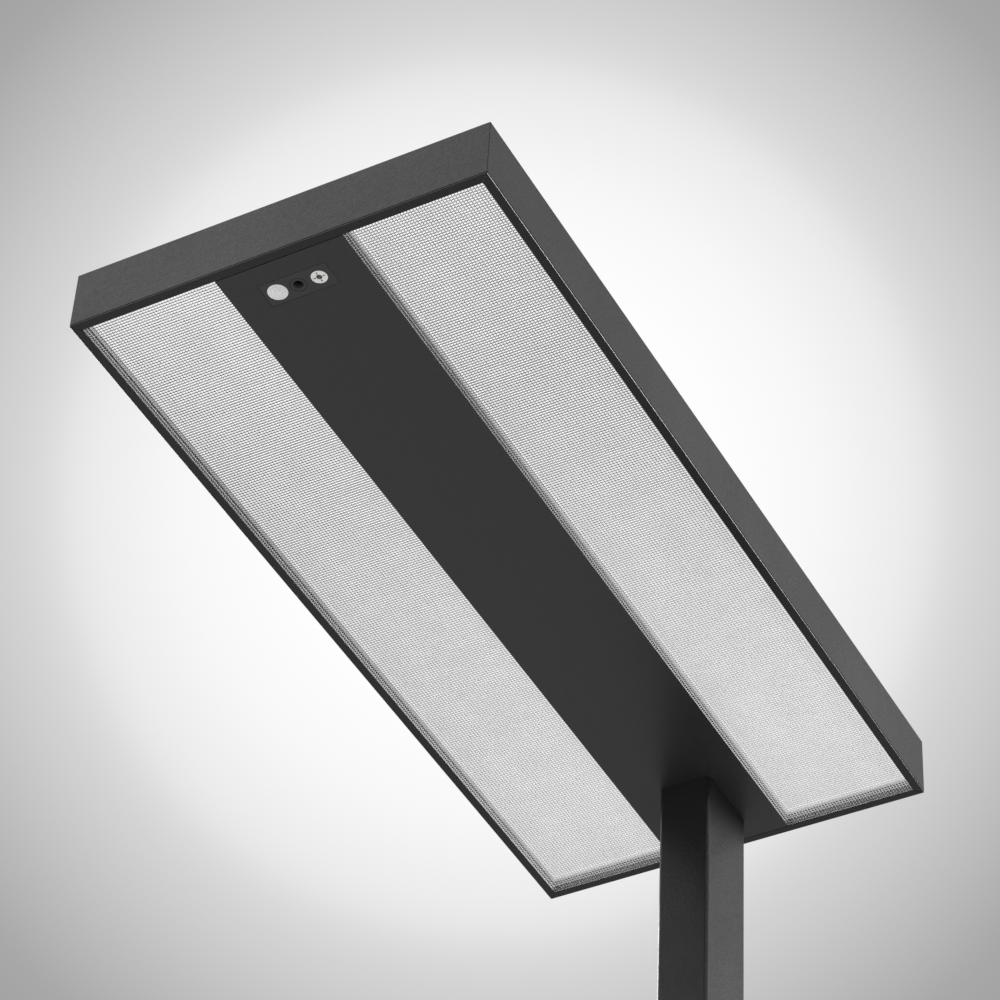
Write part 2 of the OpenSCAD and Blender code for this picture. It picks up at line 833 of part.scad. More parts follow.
module sensor_board() {
    color(board_white)
        at_sensor()
            block(-sensor_half_x + sensor_post_w + seat_gap, sensor_half_x - sensor_post_w - seat_gap,
                  -sensor_half_y + sensor_wall + seat_gap, sensor_half_y - sensor_wall - seat_gap,
                  sensor_board_z, sensor_board_z + sensor_board_t);
}

module sensor_cover() {
    color(plastic_black)
        at_sensor()
            difference() {
                block(-sensor_half_x, sensor_half_x, -sensor_half_y, sensor_half_y, bezel_top, sensor_top);
                block(-sensor_half_x + sensor_post_w, sensor_half_x - sensor_post_w,
                      -sensor_half_y + sensor_wall, sensor_half_y - sensor_wall,
                      bezel_top - cut, sensor_top - sensor_roof_t);
                sensor_screw_places() hole(m2, bezel_top - cut, sensor_top + cut);
            }
}

module sensor_screws() {
    color(zinc_grey)
        at_sensor()
            sensor_screw_places()
                translate([0, 0, sensor_top]) screw(m2, sensor_top - lip_t - 1);
}

grub_ups = [25, 58];
grub_d = 6;
grub_l = 10;

module grub_places() {
    for (up = grub_ups)
        translate([0, pole_back_y, base_top + up]) rotate([-90, 0, 0]) children();
}

module at_button() {
    translate([0, pole_front_y, button_z]) rotate([90, 0, 0]) children();
}

module at_gland() {
    z = max(gland_z, connector_z + gland_af * 0.6 + 1);
    translate([0, pole_back_y, z]) rotate([-90, 0, 0]) children();
}

module pole_tube() {
    h = deck_bottom - base_top;
    color(powder_black)
        difference() {
            translate([0, pole_y, base_top])
                linear_extrude(h) polygon(round_rect(pole_w, pole_d, pole_r, large_corner_n));
            translate([0, pole_y, base_top - cut])
                linear_extrude(h + 2 * cut)
                    polygon(round_rect(pole_w - 2 * pole_wall, pole_d - 2 * pole_wall, pole_bore_r,
                                       large_corner_n));
            spigot_screw_places() hole(m5, -pole_wall - cut, cut);
            at_button() hole([sleeve_d], -pole_wall - cut, cut);
            at_gland() hole([gland_d], -pole_wall - cut, cut);
            grub_places() hole([grub_d], -pole_wall - cut, cut);
        }
}

// Depths of the button, measured outwards from the pole's front face
button_bezel_t = 2;
button_rise = button_travel + 0.4;
sleeve_back = -9;
shoulder_z = -0.5;
collar_z = shoulder_z - 0.3;
collar_t = 1.5;
stem_d = 5;
stem_back = sleeve_back - 0.5;
sleeve_bore_d = button_d + 1.8;

module button_bezel() {
    chamfer = 0.6;
    color(plastic_black)
        at_button()
            difference() {
                union() {
                    cylinder(d = button_bezel_d, h = button_bezel_t - chamfer);
                    translate([0, 0, button_bezel_t - chamfer])
                        cylinder(d1 = button_bezel_d, d2 = button_bezel_d - 2 * chamfer, h = chamfer);
                    translate([0, 0, sleeve_back])
                        cylinder(d = sleeve_d, h = -sleeve_back + button_bezel_t / 2);
                }
                translate([0, 0, shoulder_z - cut])
                    cylinder(d = button_d + 2 * run_gap, h = button_bezel_t + cut - shoulder_z + cut);
                translate([0, 0, sleeve_back - cut])
                    cylinder(d = sleeve_bore_d, h = shoulder_z - sleeve_back + cut);
            }
}

module push_button() {
    edge = 0.5;
    top = button_bezel_t + button_rise;
    collar_back = collar_z - collar_t;
    color(opal_white)
        at_button() {
            translate([0, 0, collar_back]) cylinder(d = sleeve_bore_d - 0.7, h = collar_t);
            translate([0, 0, collar_back]) cylinder(d = button_d, h = top - edge - collar_back);
            translate([0, 0, top - edge]) cylinder(d1 = button_d, d2 = button_d - 2 * edge, h = edge);
            translate([0, 0, stem_back]) cylinder(d = stem_d, h = collar_z - stem_back);
        }
}

// A hexagonal nut with a round bore, across flats af
module ring_nut(af, bore, z0, z1) {
    difference() {
        translate([0, 0, z0]) cylinder(d = af / cos(30), h = z1 - z0, $fn = 6);
        translate([0, 0, z0 - cut]) cylinder(d = bore + 2 * hole_gap, h = z1 - z0 + 2 * cut);
    }
}

nut_t = 3;

module switch_nut() {
    color(zinc_grey)
        at_button() ring_nut(sleeve_d + 3.4, sleeve_d, -pole_wall - nut_t, -pole_wall);
}

module switch_body() {
    half = 7.2;
    depth = 9;
    color(plastic_black)
        at_button()
            difference() {
                union() {
                    block(-half, half, -half, half, sleeve_back - depth, sleeve_back - 1.5);
                    translate([0, 0, sleeve_back - 2]) cylinder(d = sleeve_d, h = 2);
                }
                translate([0, 0, stem_back - button_travel - 0.5])
                    cylinder(d = stem_d + 2 * run_gap, h = 0.5 + button_travel + 1 + cut);
            }
}

// Depths of the gland, measured outwards from the pole's rear face
gland_hex_t = 4;
gland_out = 12;
gland_in = -7;
gland_bore_d = 9.4;
seal_z = 7;
seal_d = 11.8;
dome_z = gland_hex_t + 0.4;
dome_hex_top = 11.5;
dome_top = 17.5;

module gland_body() {
    color(plastic_black)
        at_gland()
            difference() {
                union() {
                    cylinder(d = gland_af / cos(30), h = gland_hex_t, $fn = 6);
                    translate([0, 0, gland_in]) cylinder(d = gland_d, h = gland_out - gland_in);
                }
                translate([0, 0, gland_in - cut])
                    cylinder(d = gland_bore_d, h = gland_out - gland_in + 2 * cut);
                translate([0, 0, seal_z]) cylinder(d = seal_d + 2 * hole_gap, h = gland_out);
            }
}

module gland_dome_nut() {
    color(plastic_black)
        at_gland()
            difference() {
                union() {
                    translate([0, 0, dome_z])
                        cylinder(d = gland_af / cos(30), h = dome_hex_top - dome_z, $fn = 6);
                    translate([0, 0, dome_hex_top])
                        cylinder(d1 = gland_af - 0.6, d2 = gland_af * 0.66, h = dome_top - dome_hex_top);
                }
                translate([0, 0, dome_z - cut])
                    cylinder(d = gland_d + 2 * hole_gap, h = gland_out + hole_gap - dome_z + cut);
                cylinder(d = seal_bore_d + 1, h = dome_top + cut);
            }
}

module gland_seal() {
    color(rubber_black)
        at_gland()
            translate([0, 0, seal_z])
                difference() {
                    cylinder(d = seal_d, h = gland_out - seal_z);
                    translate([0, 0, -cut]) cylinder(d = seal_bore_d, h = gland_out - seal_z + 2 * cut);
                }
}

module gland_locknut() {
    color(plastic_black)
        at_gland() ring_nut(gland_af, gland_d, -pole_wall - nut_t, -pole_wall);
}

connector_half_x = 11;
connector_half_y = 8;

module foot_connector() {
    color(opal_white)
        translate([0, pole_y, connector_z])
            difference() {
                block(-connector_half_x, connector_half_x, -connector_half_y, connector_half_y,
                      0, connector_h);
                for (i = [-1:1])
                    translate([i * 7, -connector_half_y, connector_h - 10])
                        rotate([90, 0, 0]) translate([0, 0, -2]) cylinder(d = 3.4, h = 2 + cut);
            }
}

foot_bolt_x = spigot_w / 2 - 6.5;
foot_bolt_y = spigot_d / 2 - 8.6;
foot_bolt_bite = 20;

module foot_bolt_places() {
    translate([0, pole_y, base_z]) mirror([0, 0, 1]) four(foot_bolt_x, foot_bolt_y) children();
}

module foot_spigot() {
    color(zinc_grey)
        difference() {
            translate([0, pole_y, base_top])
                linear_extrude(foot_spigot_h) polygon(round_rect(spigot_w, spigot_d, spigot_r));
            foot_bolt_places() hole(m8_flat, -base_t - foot_bolt_bite - 1, -base_t + cut);
            grub_places() hole([grub_d], -grub_l - 0.5, cut);
        }
}

module foot_bolts() {
    color(zinc_grey)
        foot_bolt_places() flat_screw(m8_flat, base_t + foot_bolt_bite, 5);
}

module foot_grub_screws() {
    color(zinc_grey)
        grub_places()
            difference() {
                translate([0, 0, -grub_l]) cylinder(d = grub_d, h = grub_l - 0.3);
                translate([0, 0, -3]) cylinder(d = 3, h = 3, $fn = 6);
            }
}

module pad_places() {
    translate([0, base_y, 0]) four(base_w / 2 - pad_inset, base_l / 2 - pad_inset) children();
}

module base_plate() {
    color(powder_black)
        difference() {
            translate([0, base_y, base_z])
                linear_extrude(base_t) polygon(round_rect(base_w, base_l, base_r, large_corner_n));
            pad_places()
                translate([0, 0, base_z - cut]) cylinder(d = pad_d + 2 * seat_gap, h = cut + pad_seat);
            foot_bolt_places() flat_hole(m8_flat, base_t + cut);
        }
}

module base_pads() {
    color(rubber_black)
        pad_places() cylinder(d = pad_d, h = pad_t);
}

frame_side_left();
frame_side_right();
frame_end_front();
frame_end_rear();
corner_brackets();
corner_screws();
top_cover();
top_cover_screws();
uplight_cover_left();
uplight_cover_right();
carrier_deck();
led_boards_down();
led_boards_up();
diffuser_left();
diffuser_right();
prism_panel_left();
prism_panel_right();
centre_strip();
strip_nuts();
channel_rail_left();
channel_rail_right();
rail_screws();
led_driver();
driver_screws();
mount_plate();
mount_screws();
plate_screws();
head_spigot();
spigot_screws();
head_terminal();
supply_lead();
sensor_bezel();
pir_lens();
pir_detector();
photocell_tube();
photocell();
adjust_dial();
trimmer_body();
sensor_board();
sensor_cover();
sensor_screws();
pole_tube();
button_bezel();
push_button();
switch_nut();
switch_body();
gland_body();
gland_dome_nut();
gland_seal();
gland_locknut();
foot_connector();
foot_spigot();
foot_bolts();
foot_grub_screws();
base_plate();
base_pads();
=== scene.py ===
import json
import math

import bmesh
import bpy
import numpy as np
from mathutils import Matrix, Vector

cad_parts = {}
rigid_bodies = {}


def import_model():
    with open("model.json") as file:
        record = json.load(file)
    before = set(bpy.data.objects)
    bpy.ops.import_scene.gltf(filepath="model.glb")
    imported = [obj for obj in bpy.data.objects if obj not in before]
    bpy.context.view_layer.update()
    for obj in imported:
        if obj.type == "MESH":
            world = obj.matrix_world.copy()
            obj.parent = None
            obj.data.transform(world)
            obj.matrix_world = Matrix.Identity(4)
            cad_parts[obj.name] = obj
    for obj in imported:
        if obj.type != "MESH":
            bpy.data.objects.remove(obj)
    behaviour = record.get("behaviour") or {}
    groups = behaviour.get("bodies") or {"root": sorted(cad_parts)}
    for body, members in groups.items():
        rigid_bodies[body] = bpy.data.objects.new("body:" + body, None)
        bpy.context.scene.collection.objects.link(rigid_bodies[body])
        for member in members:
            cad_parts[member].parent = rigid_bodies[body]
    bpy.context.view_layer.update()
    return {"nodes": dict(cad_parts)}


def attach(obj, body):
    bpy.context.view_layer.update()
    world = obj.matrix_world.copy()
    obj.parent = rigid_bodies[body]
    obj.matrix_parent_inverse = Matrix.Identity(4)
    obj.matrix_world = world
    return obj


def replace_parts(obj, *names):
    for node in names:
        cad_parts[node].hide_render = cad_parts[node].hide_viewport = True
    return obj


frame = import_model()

mm = 0.001

cameraSettings = dict(
    place=(0.94559, -1.63953, 0.21132),  # metres from the point under the middle of the head
    right=(0.88092, 0.47116, 0.04464),
    down=(-0.29251, 0.61617, -0.73128),
    look=(-0.37206, 0.63114, 0.68062),
    lens=135.987, sensor=36.0,  # mm
    clip=(0.05, 100.0),
)


def newObject(name, data):
    made = bpy.data.objects.new(name, data)
    bpy.context.scene.collection.objects.link(made)
    return made


def buildCamera(s=cameraSettings):
    camera = newObject("camera", bpy.data.cameras.new("camera"))
    camera.data.sensor_width = s["sensor"]
    camera.data.lens = s["lens"]
    camera.data.clip_start, camera.data.clip_end = s["clip"]
    columns = [Vector(s["right"]), -Vector(s["down"]), -Vector(s["look"])]
    turned = Matrix(columns).transposed().to_4x4()
    camera.matrix_world = Matrix.Translation(s["place"]) @ turned
    bpy.context.scene.camera = camera


def addNode(tree, kind, inputs=None, **settings):
    # an input whose value is another node's socket is linked to it, and any other is set
    made = tree.nodes.new(kind)
    for key, value in settings.items():
        setattr(made, key, value)
    for key, value in (inputs or {}).items():
        if isinstance(value, bpy.types.NodeSocket):
            tree.links.new(value, made.inputs[key])
        else:
            made.inputs[key].default_value = value
    return made


def connect(tree, target, values):
    for label, value in values.items():
        tree.links.new(value, target[label])


def calc(tree, operation, *values, clamp=False):
    made = addNode(tree, "ShaderNodeMath", dict(enumerate(values)), operation=operation, use_clamp=clamp)
    return made.outputs[0]


def plus(tree, *pair):
    return calc(tree, "ADD", *pair)


def minus(tree, *pair):
    return calc(tree, "SUBTRACT", *pair)


def times(tree, *pair):
    return calc(tree, "MULTIPLY", *pair)


def vectorCalc(tree, operation, *values):
    made = addNode(tree, "ShaderNodeVectorMath", dict(enumerate(values)), operation=operation)
    return made.outputs["Value" if operation in ("LENGTH", "DISTANCE") else "Vector"]


def scaled(tree, tone, factor):
    return addNode(tree, "ShaderNodeVectorMath", {0: tone, "Scale": factor}, operation="SCALE").outputs[0]


def axes(tree, place):
    return addNode(tree, "ShaderNodeSeparateXYZ", {0: place}).outputs


def stretch(tree, value, low, high, toLow=0.0, toHigh=1.0, smooth=False):
    # low to high becomes toLow to toHigh, and what lies outside is held at the ends
    kind = "SMOOTHSTEP" if smooth else "LINEAR"
    made = addNode(tree, "ShaderNodeMapRange", {0: value, 1: low, 2: high, 3: toLow, 4: toHigh},
                   interpolation_type=kind)
    return made.outputs[0]


def between(tree, value, low, high):
    # 1 where a place lies between two heights in mm, otherwise 0
    return times(tree, calc(tree, "GREATER_THAN", value, low * mm), calc(tree, "LESS_THAN", value, high * mm))


corners = ((-1, -1), (1, -1), (1, 1), (-1, 1))  # signs of x and y round a rectangle
usual = (0.3, 0.7)  # nearly all of a noise's values lie between these
patchy = (0.35, 0.7)  # closer limits cut the ends off, which gives clear patches
speckled = (0.35, 0.65)


def noise(tree, place, scale, detail=2.0, roughness=0.5):
    # scale: features per metre
    made = addNode(tree, "ShaderNodeTexNoise",
                   {"Vector": place, "Scale": scale, "Detail": detail, "Roughness": roughness})
    return made.outputs["Fac"]


def swing(tree, value, reach):
    # a noise made to swing from -reach to reach
    return stretch(tree, value, *usual, -reach, reach)


def mixColour(tree, share, first, second):
    # the node's inputs 6 and 7 are its two colours
    return addNode(tree, "ShaderNodeMix", {0: share, 6: first, 7: second}, data_type="RGBA").outputs[2]


def grey(level):
    return (level, level, level, 1.0)


def timesTone(tone, factor):
    return tuple(min(1.0, c * factor) for c in tone[:3]) + (1.0,)


def bumps(tree, height, strength, depth, under=None):
    # depth in metres; under: the normal that the bumps lie on, where it isn't the surface's own
    inputs = {"Height": height, "Strength": strength, "Distance": depth}
    if under is not None:
        inputs["Normal"] = under
    return addNode(tree, "ShaderNodeBump", inputs).outputs[0]


def objectPlace(tree):
    return addNode(tree, "ShaderNodeTexCoord").outputs["Object"]


def upward(tree):
    # the height of the surface's unit normal: 1 on a face that looks up, -1 on one that looks down
    return axes(tree, addNode(tree, "ShaderNodeNewGeometry").outputs["Normal"])[2]


number, colour, vector = "NodeSocketFloat", "NodeSocketColor", "NodeSocketVector"


def newGroup(name, inputs, outputs):
    # inputs and outputs: the type of each socket by its name
    group = bpy.data.node_groups.new(name, "ShaderNodeTree")
    for way, sockets in (("INPUT", inputs), ("OUTPUT", outputs)):
        for label, kind in sockets.items():
            group.interface.new_socket(name=label, in_out=way, socket_type=kind)
    start = group.nodes.new("NodeGroupInput")
    end = group.nodes.new("NodeGroupOutput")
    return group, start.outputs, end.inputs


def useGroup(tree, group, values):
    return addNode(tree, "ShaderNodeGroup", values, node_tree=group).outputs


def buildCoatGrain():
    # powder coat: soft waves of orange peel, fine grain on top, and a slow drift in colour
    group, take, give = newGroup(
        "coatGrain",
        {"Colour": colour, **dict.fromkeys(("Peel Size", "Peel", "Grain", "Gloss", "Edge"), number)},
        {"Colour": colour, "Roughness": number, "Normal": vector})
    place = objectPlace(group)
    peel = noise(group, place, calc(group, "DIVIDE", 1 / mm, take["Peel Size"]), detail=1.5)
    grain = noise(group, place, scale=2600.0, roughness=0.6)
    drift = noise(group, place, scale=9.0, detail=3.0)
    speck = noise(group, place, scale=1300.0, detail=1.0)
    specks = times(group, swing(group, speck, reach=0.22), take["Grain"])
    shade = plus(group, swing(group, drift, reach=0.07), specks)
    spread = plus(group, swing(group, peel, reach=0.04), swing(group, drift, reach=0.03))
    smoother = times(group, take["Edge"], 0.10)
    flat = minus(group, 1.0, take["Edge"])  # the waves flow out over an edge
    waves = times(group, minus(group, peel, 0.5), flat)
    coarse = bumps(group, waves, strength=1.0, depth=take["Peel"])
    connect(group, give, {
        "Colour": scaled(group, take["Colour"], plus(group, shade, 1.0)),
        "Roughness": minus(group, plus(group, take["Gloss"], spread), smoother),
        "Normal": bumps(group, grain, take["Grain"], depth=0.03 * mm, under=coarse)})
    return group


def buildEdgeMask():
    # How near a point is to an edge of a box: x, y and z are its distances to the nearest faces. The middle
    # one of the three falls to 0 at an edge. Noise narrows the edge's width in places.
    group, take, give = newGroup("edgeMask", {"Centre": vector, "Half": vector, "Width": number},
                                 {"Mask": number})
    place = objectPlace(group)
    away = vectorCalc(group, "ABSOLUTE", vectorCalc(group, "SUBTRACT", place, take["Centre"]))
    x, y, z = axes(group, vectorCalc(group, "SUBTRACT", take["Half"], away))
    least = calc(group, "MINIMUM", x, calc(group, "MINIMUM", y, z))
    most = calc(group, "MAXIMUM", x, calc(group, "MAXIMUM", y, z))
    middle = minus(group, plus(group, x, plus(group, y, z)), plus(group, least, most))
    ragged = stretch(group, noise(group, place, scale=320.0, detail=3.0), *speckled, toLow=1.0, toHigh=0.6)
    share = calc(group, "DIVIDE", middle, times(group, take["Width"], ragged))
    connect(group, give, {"Mask": calc(group, "SUBTRACT", 1.0, share, clamp=True)})
    return group


dustSettings = dict(
    upward=(0.6, 0.95),  # the normal's height where dust starts to lie, and lies fully
    tone=(0.42, 0.41, 0.39, 1.0), paleTone=(0.5, 0.49, 0.46, 1.0),  # on black and on white paint
    dull=0.5,  # what full dust adds to the roughness
)


def buildDust(s=dustSettings):
    # fine dust that settles on faces that look up, thicker in slow patches
    group, take, give = newGroup("dustFilm", {"Amount": number}, {"Mask": number})
    place = objectPlace(group)
    patches = stretch(group, noise(group, place, scale=16.0, detail=4.0, roughness=0.6), *patchy)
    specks = stretch(group, noise(group, place, scale=1500.0, detail=1.0), *speckled, toLow=0.5)
    lying = stretch(group, upward(group), *s["upward"], smooth=True)
    cover = times(group, times(group, patches, specks), lying)
    connect(group, give, {"Mask": times(group, cover, take["Amount"])})
    return group


def buildBrushMarks():
    # drawn or brushed metal: noise stretched along one axis, as lines in the gloss and in the surface
    group, take, give = newGroup("brushMarks", {"Stretch": vector, "Depth": number, "Gloss": number},
                                 {"Roughness": number, "Normal": vector, "Streak": number})
    place = objectPlace(group)
    pulled = vectorCalc(group, "MULTIPLY", place, take["Stretch"])
    streak = noise(group, pulled, scale=2200.0, detail=3.0, roughness=0.6)
    smudge = noise(group, place, scale=60.0)
    uneven = plus(group, swing(group, streak, reach=0.08), swing(group, smudge, reach=0.05))
    connect(group, give, {
        "Roughness": plus(group, take["Gloss"], uneven),
        "Normal": bumps(group, streak, take["Depth"], depth=0.04 * mm),
        "Streak": streak})
    return group


def buildMouldSkin():
    # moulded plastic: fine spark-eroded grain, slow sheen changes, faint colour drift
    group, take, give = newGroup(
        "mouldSkin",
        {"Colour": colour, "Grain Size": number, "Depth": number, "Gloss": number},
        {"Colour": colour, "Roughness": number, "Normal": vector})
    place = objectPlace(group)
    grain = noise(group, place, calc(group, "DIVIDE", 1 / mm, take["Grain Size"]), roughness=0.55)
    flow = noise(group, place, scale=45.0)
    drift = stretch(group, flow, *usual, toLow=0.96, toHigh=1.03)
    connect(group, give, {
        "Colour": scaled(group, take["Colour"], plus(group, drift, swing(group, grain, reach=0.02))),
        "Roughness": plus(group, take["Gloss"], swing(group, flow, reach=0.05)),
        "Normal": bumps(group, grain, take["Depth"], depth=0.03 * mm)})
    return group


coatGrain = buildCoatGrain()
edgeMask = buildEdgeMask()
dustFilm = buildDust()
brushMarks = buildBrushMarks()
mouldSkin = buildMouldSkin()
print("groups: coat grain, edge mask, dust, brush marks, mould skin")


def newMaterial(name):
    material = bpy.data.materials.new(name)
    material.use_nodes = True
    tree = material.node_tree
    shader = next(n for n in tree.nodes if n.type == "BSDF_PRINCIPLED")
    return material, tree, shader.inputs


def finish(tree, shader, tone, skin):
    # the tone, and the roughness and normal that a group puts out
    connect(tree, shader, {"Base Color": tone, "Roughness": skin["Roughness"], "Normal": skin["Normal"]})


liningSettings = dict(  # heights and lengths in mm
    opening=(46.0, 144.0, 323.0),  # where the panels' openings start and end in x, and end in y
    reach=4.5,  # how far film and ledges reach behind an opening's edge
    film=(1903.95, 1906.0), filmTone=0.86,
    paintedFilmLight=(0.50, 0.03),  # painted light that the film gives out beside a panel, and past its ends
    # the ledges' heights, the painted light on their edges, and the mm over which it fades
    ledge=(1916.8, 1918.55), paintedLedgeLight=0.78, paintedLedgeFade=3.4,
)


def lining(tree, s=liningSettings):
    # A white film lies under and beside the prism panels and gives out painted light, and the diffusers' ledges
    # get a painted lit edge that fades away from the opening.
    # out is how far a point lies behind the edge of its panel's opening, and past how far beyond its end.
    x, y, z = axes(tree, objectPlace(tree))
    inner, outer, end = (edge * mm for edge in s["opening"])
    across = calc(tree, "ABSOLUTE", x)
    sides = calc(tree, "MAXIMUM", minus(tree, across, outer), minus(tree, inner, across))
    past = minus(tree, calc(tree, "ABSOLUTE", y), end)
    out = calc(tree, "MAXIMUM", sides, past)
    near = calc(tree, "LESS_THAN", out, s["reach"] * mm)
    film = times(tree, near, between(tree, z, *s["film"]))
    ledge = times(tree, near, between(tree, z, *s["ledge"]))
    paintedFilmLight = stretch(tree, calc(tree, "GREATER_THAN", past, 0.0), 0.0, 1.0, *s["paintedFilmLight"])
    paintedLedgeLight = stretch(tree, out, 0.0, s["paintedLedgeFade"] * mm, s["paintedLedgeLight"], 0.0)
    glow = plus(tree, times(tree, film, paintedFilmLight), times(tree, ledge, paintedLedgeLight))
    return film, glow


coatSettings = dict(
    tone=(0.022, 0.022, 0.0224, 1.0),
    peelSize=1.7,  # mm across one wave of the orange peel
    peel=0.11,  # mm deep
    grain=0.45,
    gloss=0.38,  # roughness, as in all finishes here
    level=0.5,  # specular level of the resin
    paintedEdgeTone=0.012,  # painted shade: the tone that the coat is darkened towards near an edge
    # painted shade: how far the coat is darkened towards that tone at an edge
    paintedEdgeShade=0.45,
    edgeWidth=1.2,  # mm
    downward=(-0.95, -0.6),  # the normal's height where a face looks fully down, and where no longer
    under=1.0,  # painted shade: brightness of faces that look down
    dust=0.05,
    inside=False,  # True for a piece that lines the room between the prism panels and the diffusers, which gets the white film and painted light
)

# what each coat has of its own; centre and half: the box, in mm, near whose edges the coat is smoother and
# darkened by painted shade
coats = {
    # the frame's faces that look down are darkened by painted shade
    "coatFrame": dict(under=0.15, inside=True),
    "coatStrip": dict(centre=(0, 0, 1904), half=(46, 322.6, 1), paintedEdgeShade=0.2, inside=True),
    "coatRails": dict(centre=(0, 0, 1918), half=(46, 323, 13), inside=True),
    "coatPole": dict(centre=(0, 277, 970), half=(19.5, 30, 961), gloss=0.33, peel=0.20, paintedEdgeShade=0.8,
                     edgeWidth=1.8),
    "coatCover": dict(centre=(0, 0, 1926), half=(148, 327, 24), dust=0.09),
    "coatBase": dict(centre=(0, 119, 7), half=(140, 210, 5), dust=0.07),
}


def coatSkin(tree, s, edge=0.0):
    coat = useGroup(tree, coatGrain, {"Colour": s["tone"], "Peel Size": s["peelSize"], "Peel": s["peel"] * mm,
                                      "Grain": s["grain"], "Gloss": s["gloss"], "Edge": edge})
    return coat, useGroup(tree, dustFilm, {"Amount": s["dust"]})["Mask"]


def powderCoat(name, **box):
    s = {**coatSettings, **coats[name], **box}
    material, tree, shader = newMaterial(name)
    centre, half = ([v * mm for v in s[key]] for key in ("centre", "half"))
    edge = useGroup(tree, edgeMask, {"Centre": centre, "Half": half, "Width": s["edgeWidth"] * mm})["Mask"]
    coat, dust = coatSkin(tree, s, edge)
    # painted shade: faces that look down are darkened by under
    shaded = scaled(tree, coat["Colour"], stretch(tree, upward(tree), *s["downward"], s["under"], 1.0))
    # painted shade: a dark line along the edges of the box
    paintedEdgeDark = mixColour(tree, times(tree, edge, s["paintedEdgeShade"]), shaded, grey(s["paintedEdgeTone"]))
    tone = mixColour(tree, dust, paintedEdgeDark, dustSettings["tone"])
    # the white film, and painted light given out by the film and the ledges' edges
    if s["inside"]:
        film, glow = lining(tree)
        tone = mixColour(tree, film, tone, grey(liningSettings["filmTone"]))
        connect(tree, shader, {"Emission Color": mixColour(tree, glow, grey(0.0), grey(1.0))})
        shader["Emission Strength"].default_value = 1.0
    rough = plus(tree, coat["Roughness"], times(tree, dust, dustSettings["dull"]))
    connect(tree, shader, {"Base Color": tone, "Roughness": rough, "Normal": coat["Normal"]})
    shader["Specular IOR Level"].default_value = s["level"]
    return material


paintSettings = dict(tone=(0.74, 0.74, 0.73, 1.0), peelSize=2.0, peel=0.03, grain=0.1, gloss=0.4, dust=0.15)


def whitePaint(name, s=paintSettings):
    material, tree, shader = newMaterial(name)
    coat, dust = coatSkin(tree, s)
    finish(tree, shader, mixColour(tree, dust, coat["Colour"], dustSettings["paleTone"]), coat)
    return material


acrylicSettings = dict(
    tint=(0.988, 0.988, 0.988, 1.0), hazed=(0.95, 0.95, 0.95, 1.0), hazeScale=40.0,
    gloss=0.03, hazeGloss=0.03, refraction=1.49,
)


def clearAcrylic(s=acrylicSettings):
    # clear glass with a faint haze in slow patches, which dims it and roughens it a little
    material, tree, shader = newMaterial("clearAcrylic")
    haze = stretch(tree, noise(tree, objectPlace(tree), s["hazeScale"], detail=3.0), *patchy)
    rough = plus(tree, s["gloss"], times(tree, haze, s["hazeGloss"]))
    connect(tree, shader, {"Base Color": mixColour(tree, haze, s["tint"], s["hazed"]), "Roughness": rough})
    shader["IOR"].default_value = s["refraction"]
    shader["Transmission Weight"].default_value = 1.0
    return material


plasticSettings = dict(grainSize=0.25, depth=0.3)  # mm across the mould's grain, and how strongly it stands up

# what each plastic has of its own
plastics = {
    "blackMoulding": dict(tone=(0.020, 0.020, 0.0205, 1.0), gloss=0.42),
    "bezelMoulding": dict(tone=(0.030, 0.030, 0.0305, 1.0), depth=0.2, gloss=0.36),
    "blackRubber": dict(tone=(0.018, 0.018, 0.018, 1.0), grainSize=0.5, gloss=0.72),
    "lightMoulding": dict(tone=(0.62, 0.62, 0.60, 1.0), gloss=0.45),
    "milkyLens": dict(tone=(0.985, 0.985, 0.98, 1.0), depth=0.15, gloss=0.22),
}


def plasticSkin(tree, s):
    return useGroup(tree, mouldSkin, {"Colour": s["tone"], "Grain Size": s["grainSize"], "Depth": s["depth"],
                                      "Gloss": s["gloss"]})


def mouldedPlastic(name):
    material, tree, shader = newMaterial(name)
    skin = plasticSkin(tree, {**plasticSettings, **plastics[name]})
    finish(tree, shader, skin["Colour"], skin)
    return material


opalSettings = dict(
    tone=(0.80, 0.80, 0.79, 1.0), grainSize=0.4, depth=0.2, gloss=0.5,
    glow=(0.735, 0.79),  # light given out between the light-emitting chips, and right over them
    rowPitch=20.0,  # mm between chips along a board
    betweenRows=0.4,  # what is left of a spot halfway to the next row
    boards=(72.0, 117.0),  # mm from the middle of the head to each board
    spotReach=22.0,  # mm
    cloud=0.008, cloudScale=18.0,
    lift=-0.15,  # change in brightness from the sensor end to the pole end
    liftOver=320.0,  # mm from the middle to either end
    strength={"opalDown": 1.0, "opalUp": 0.25},
)


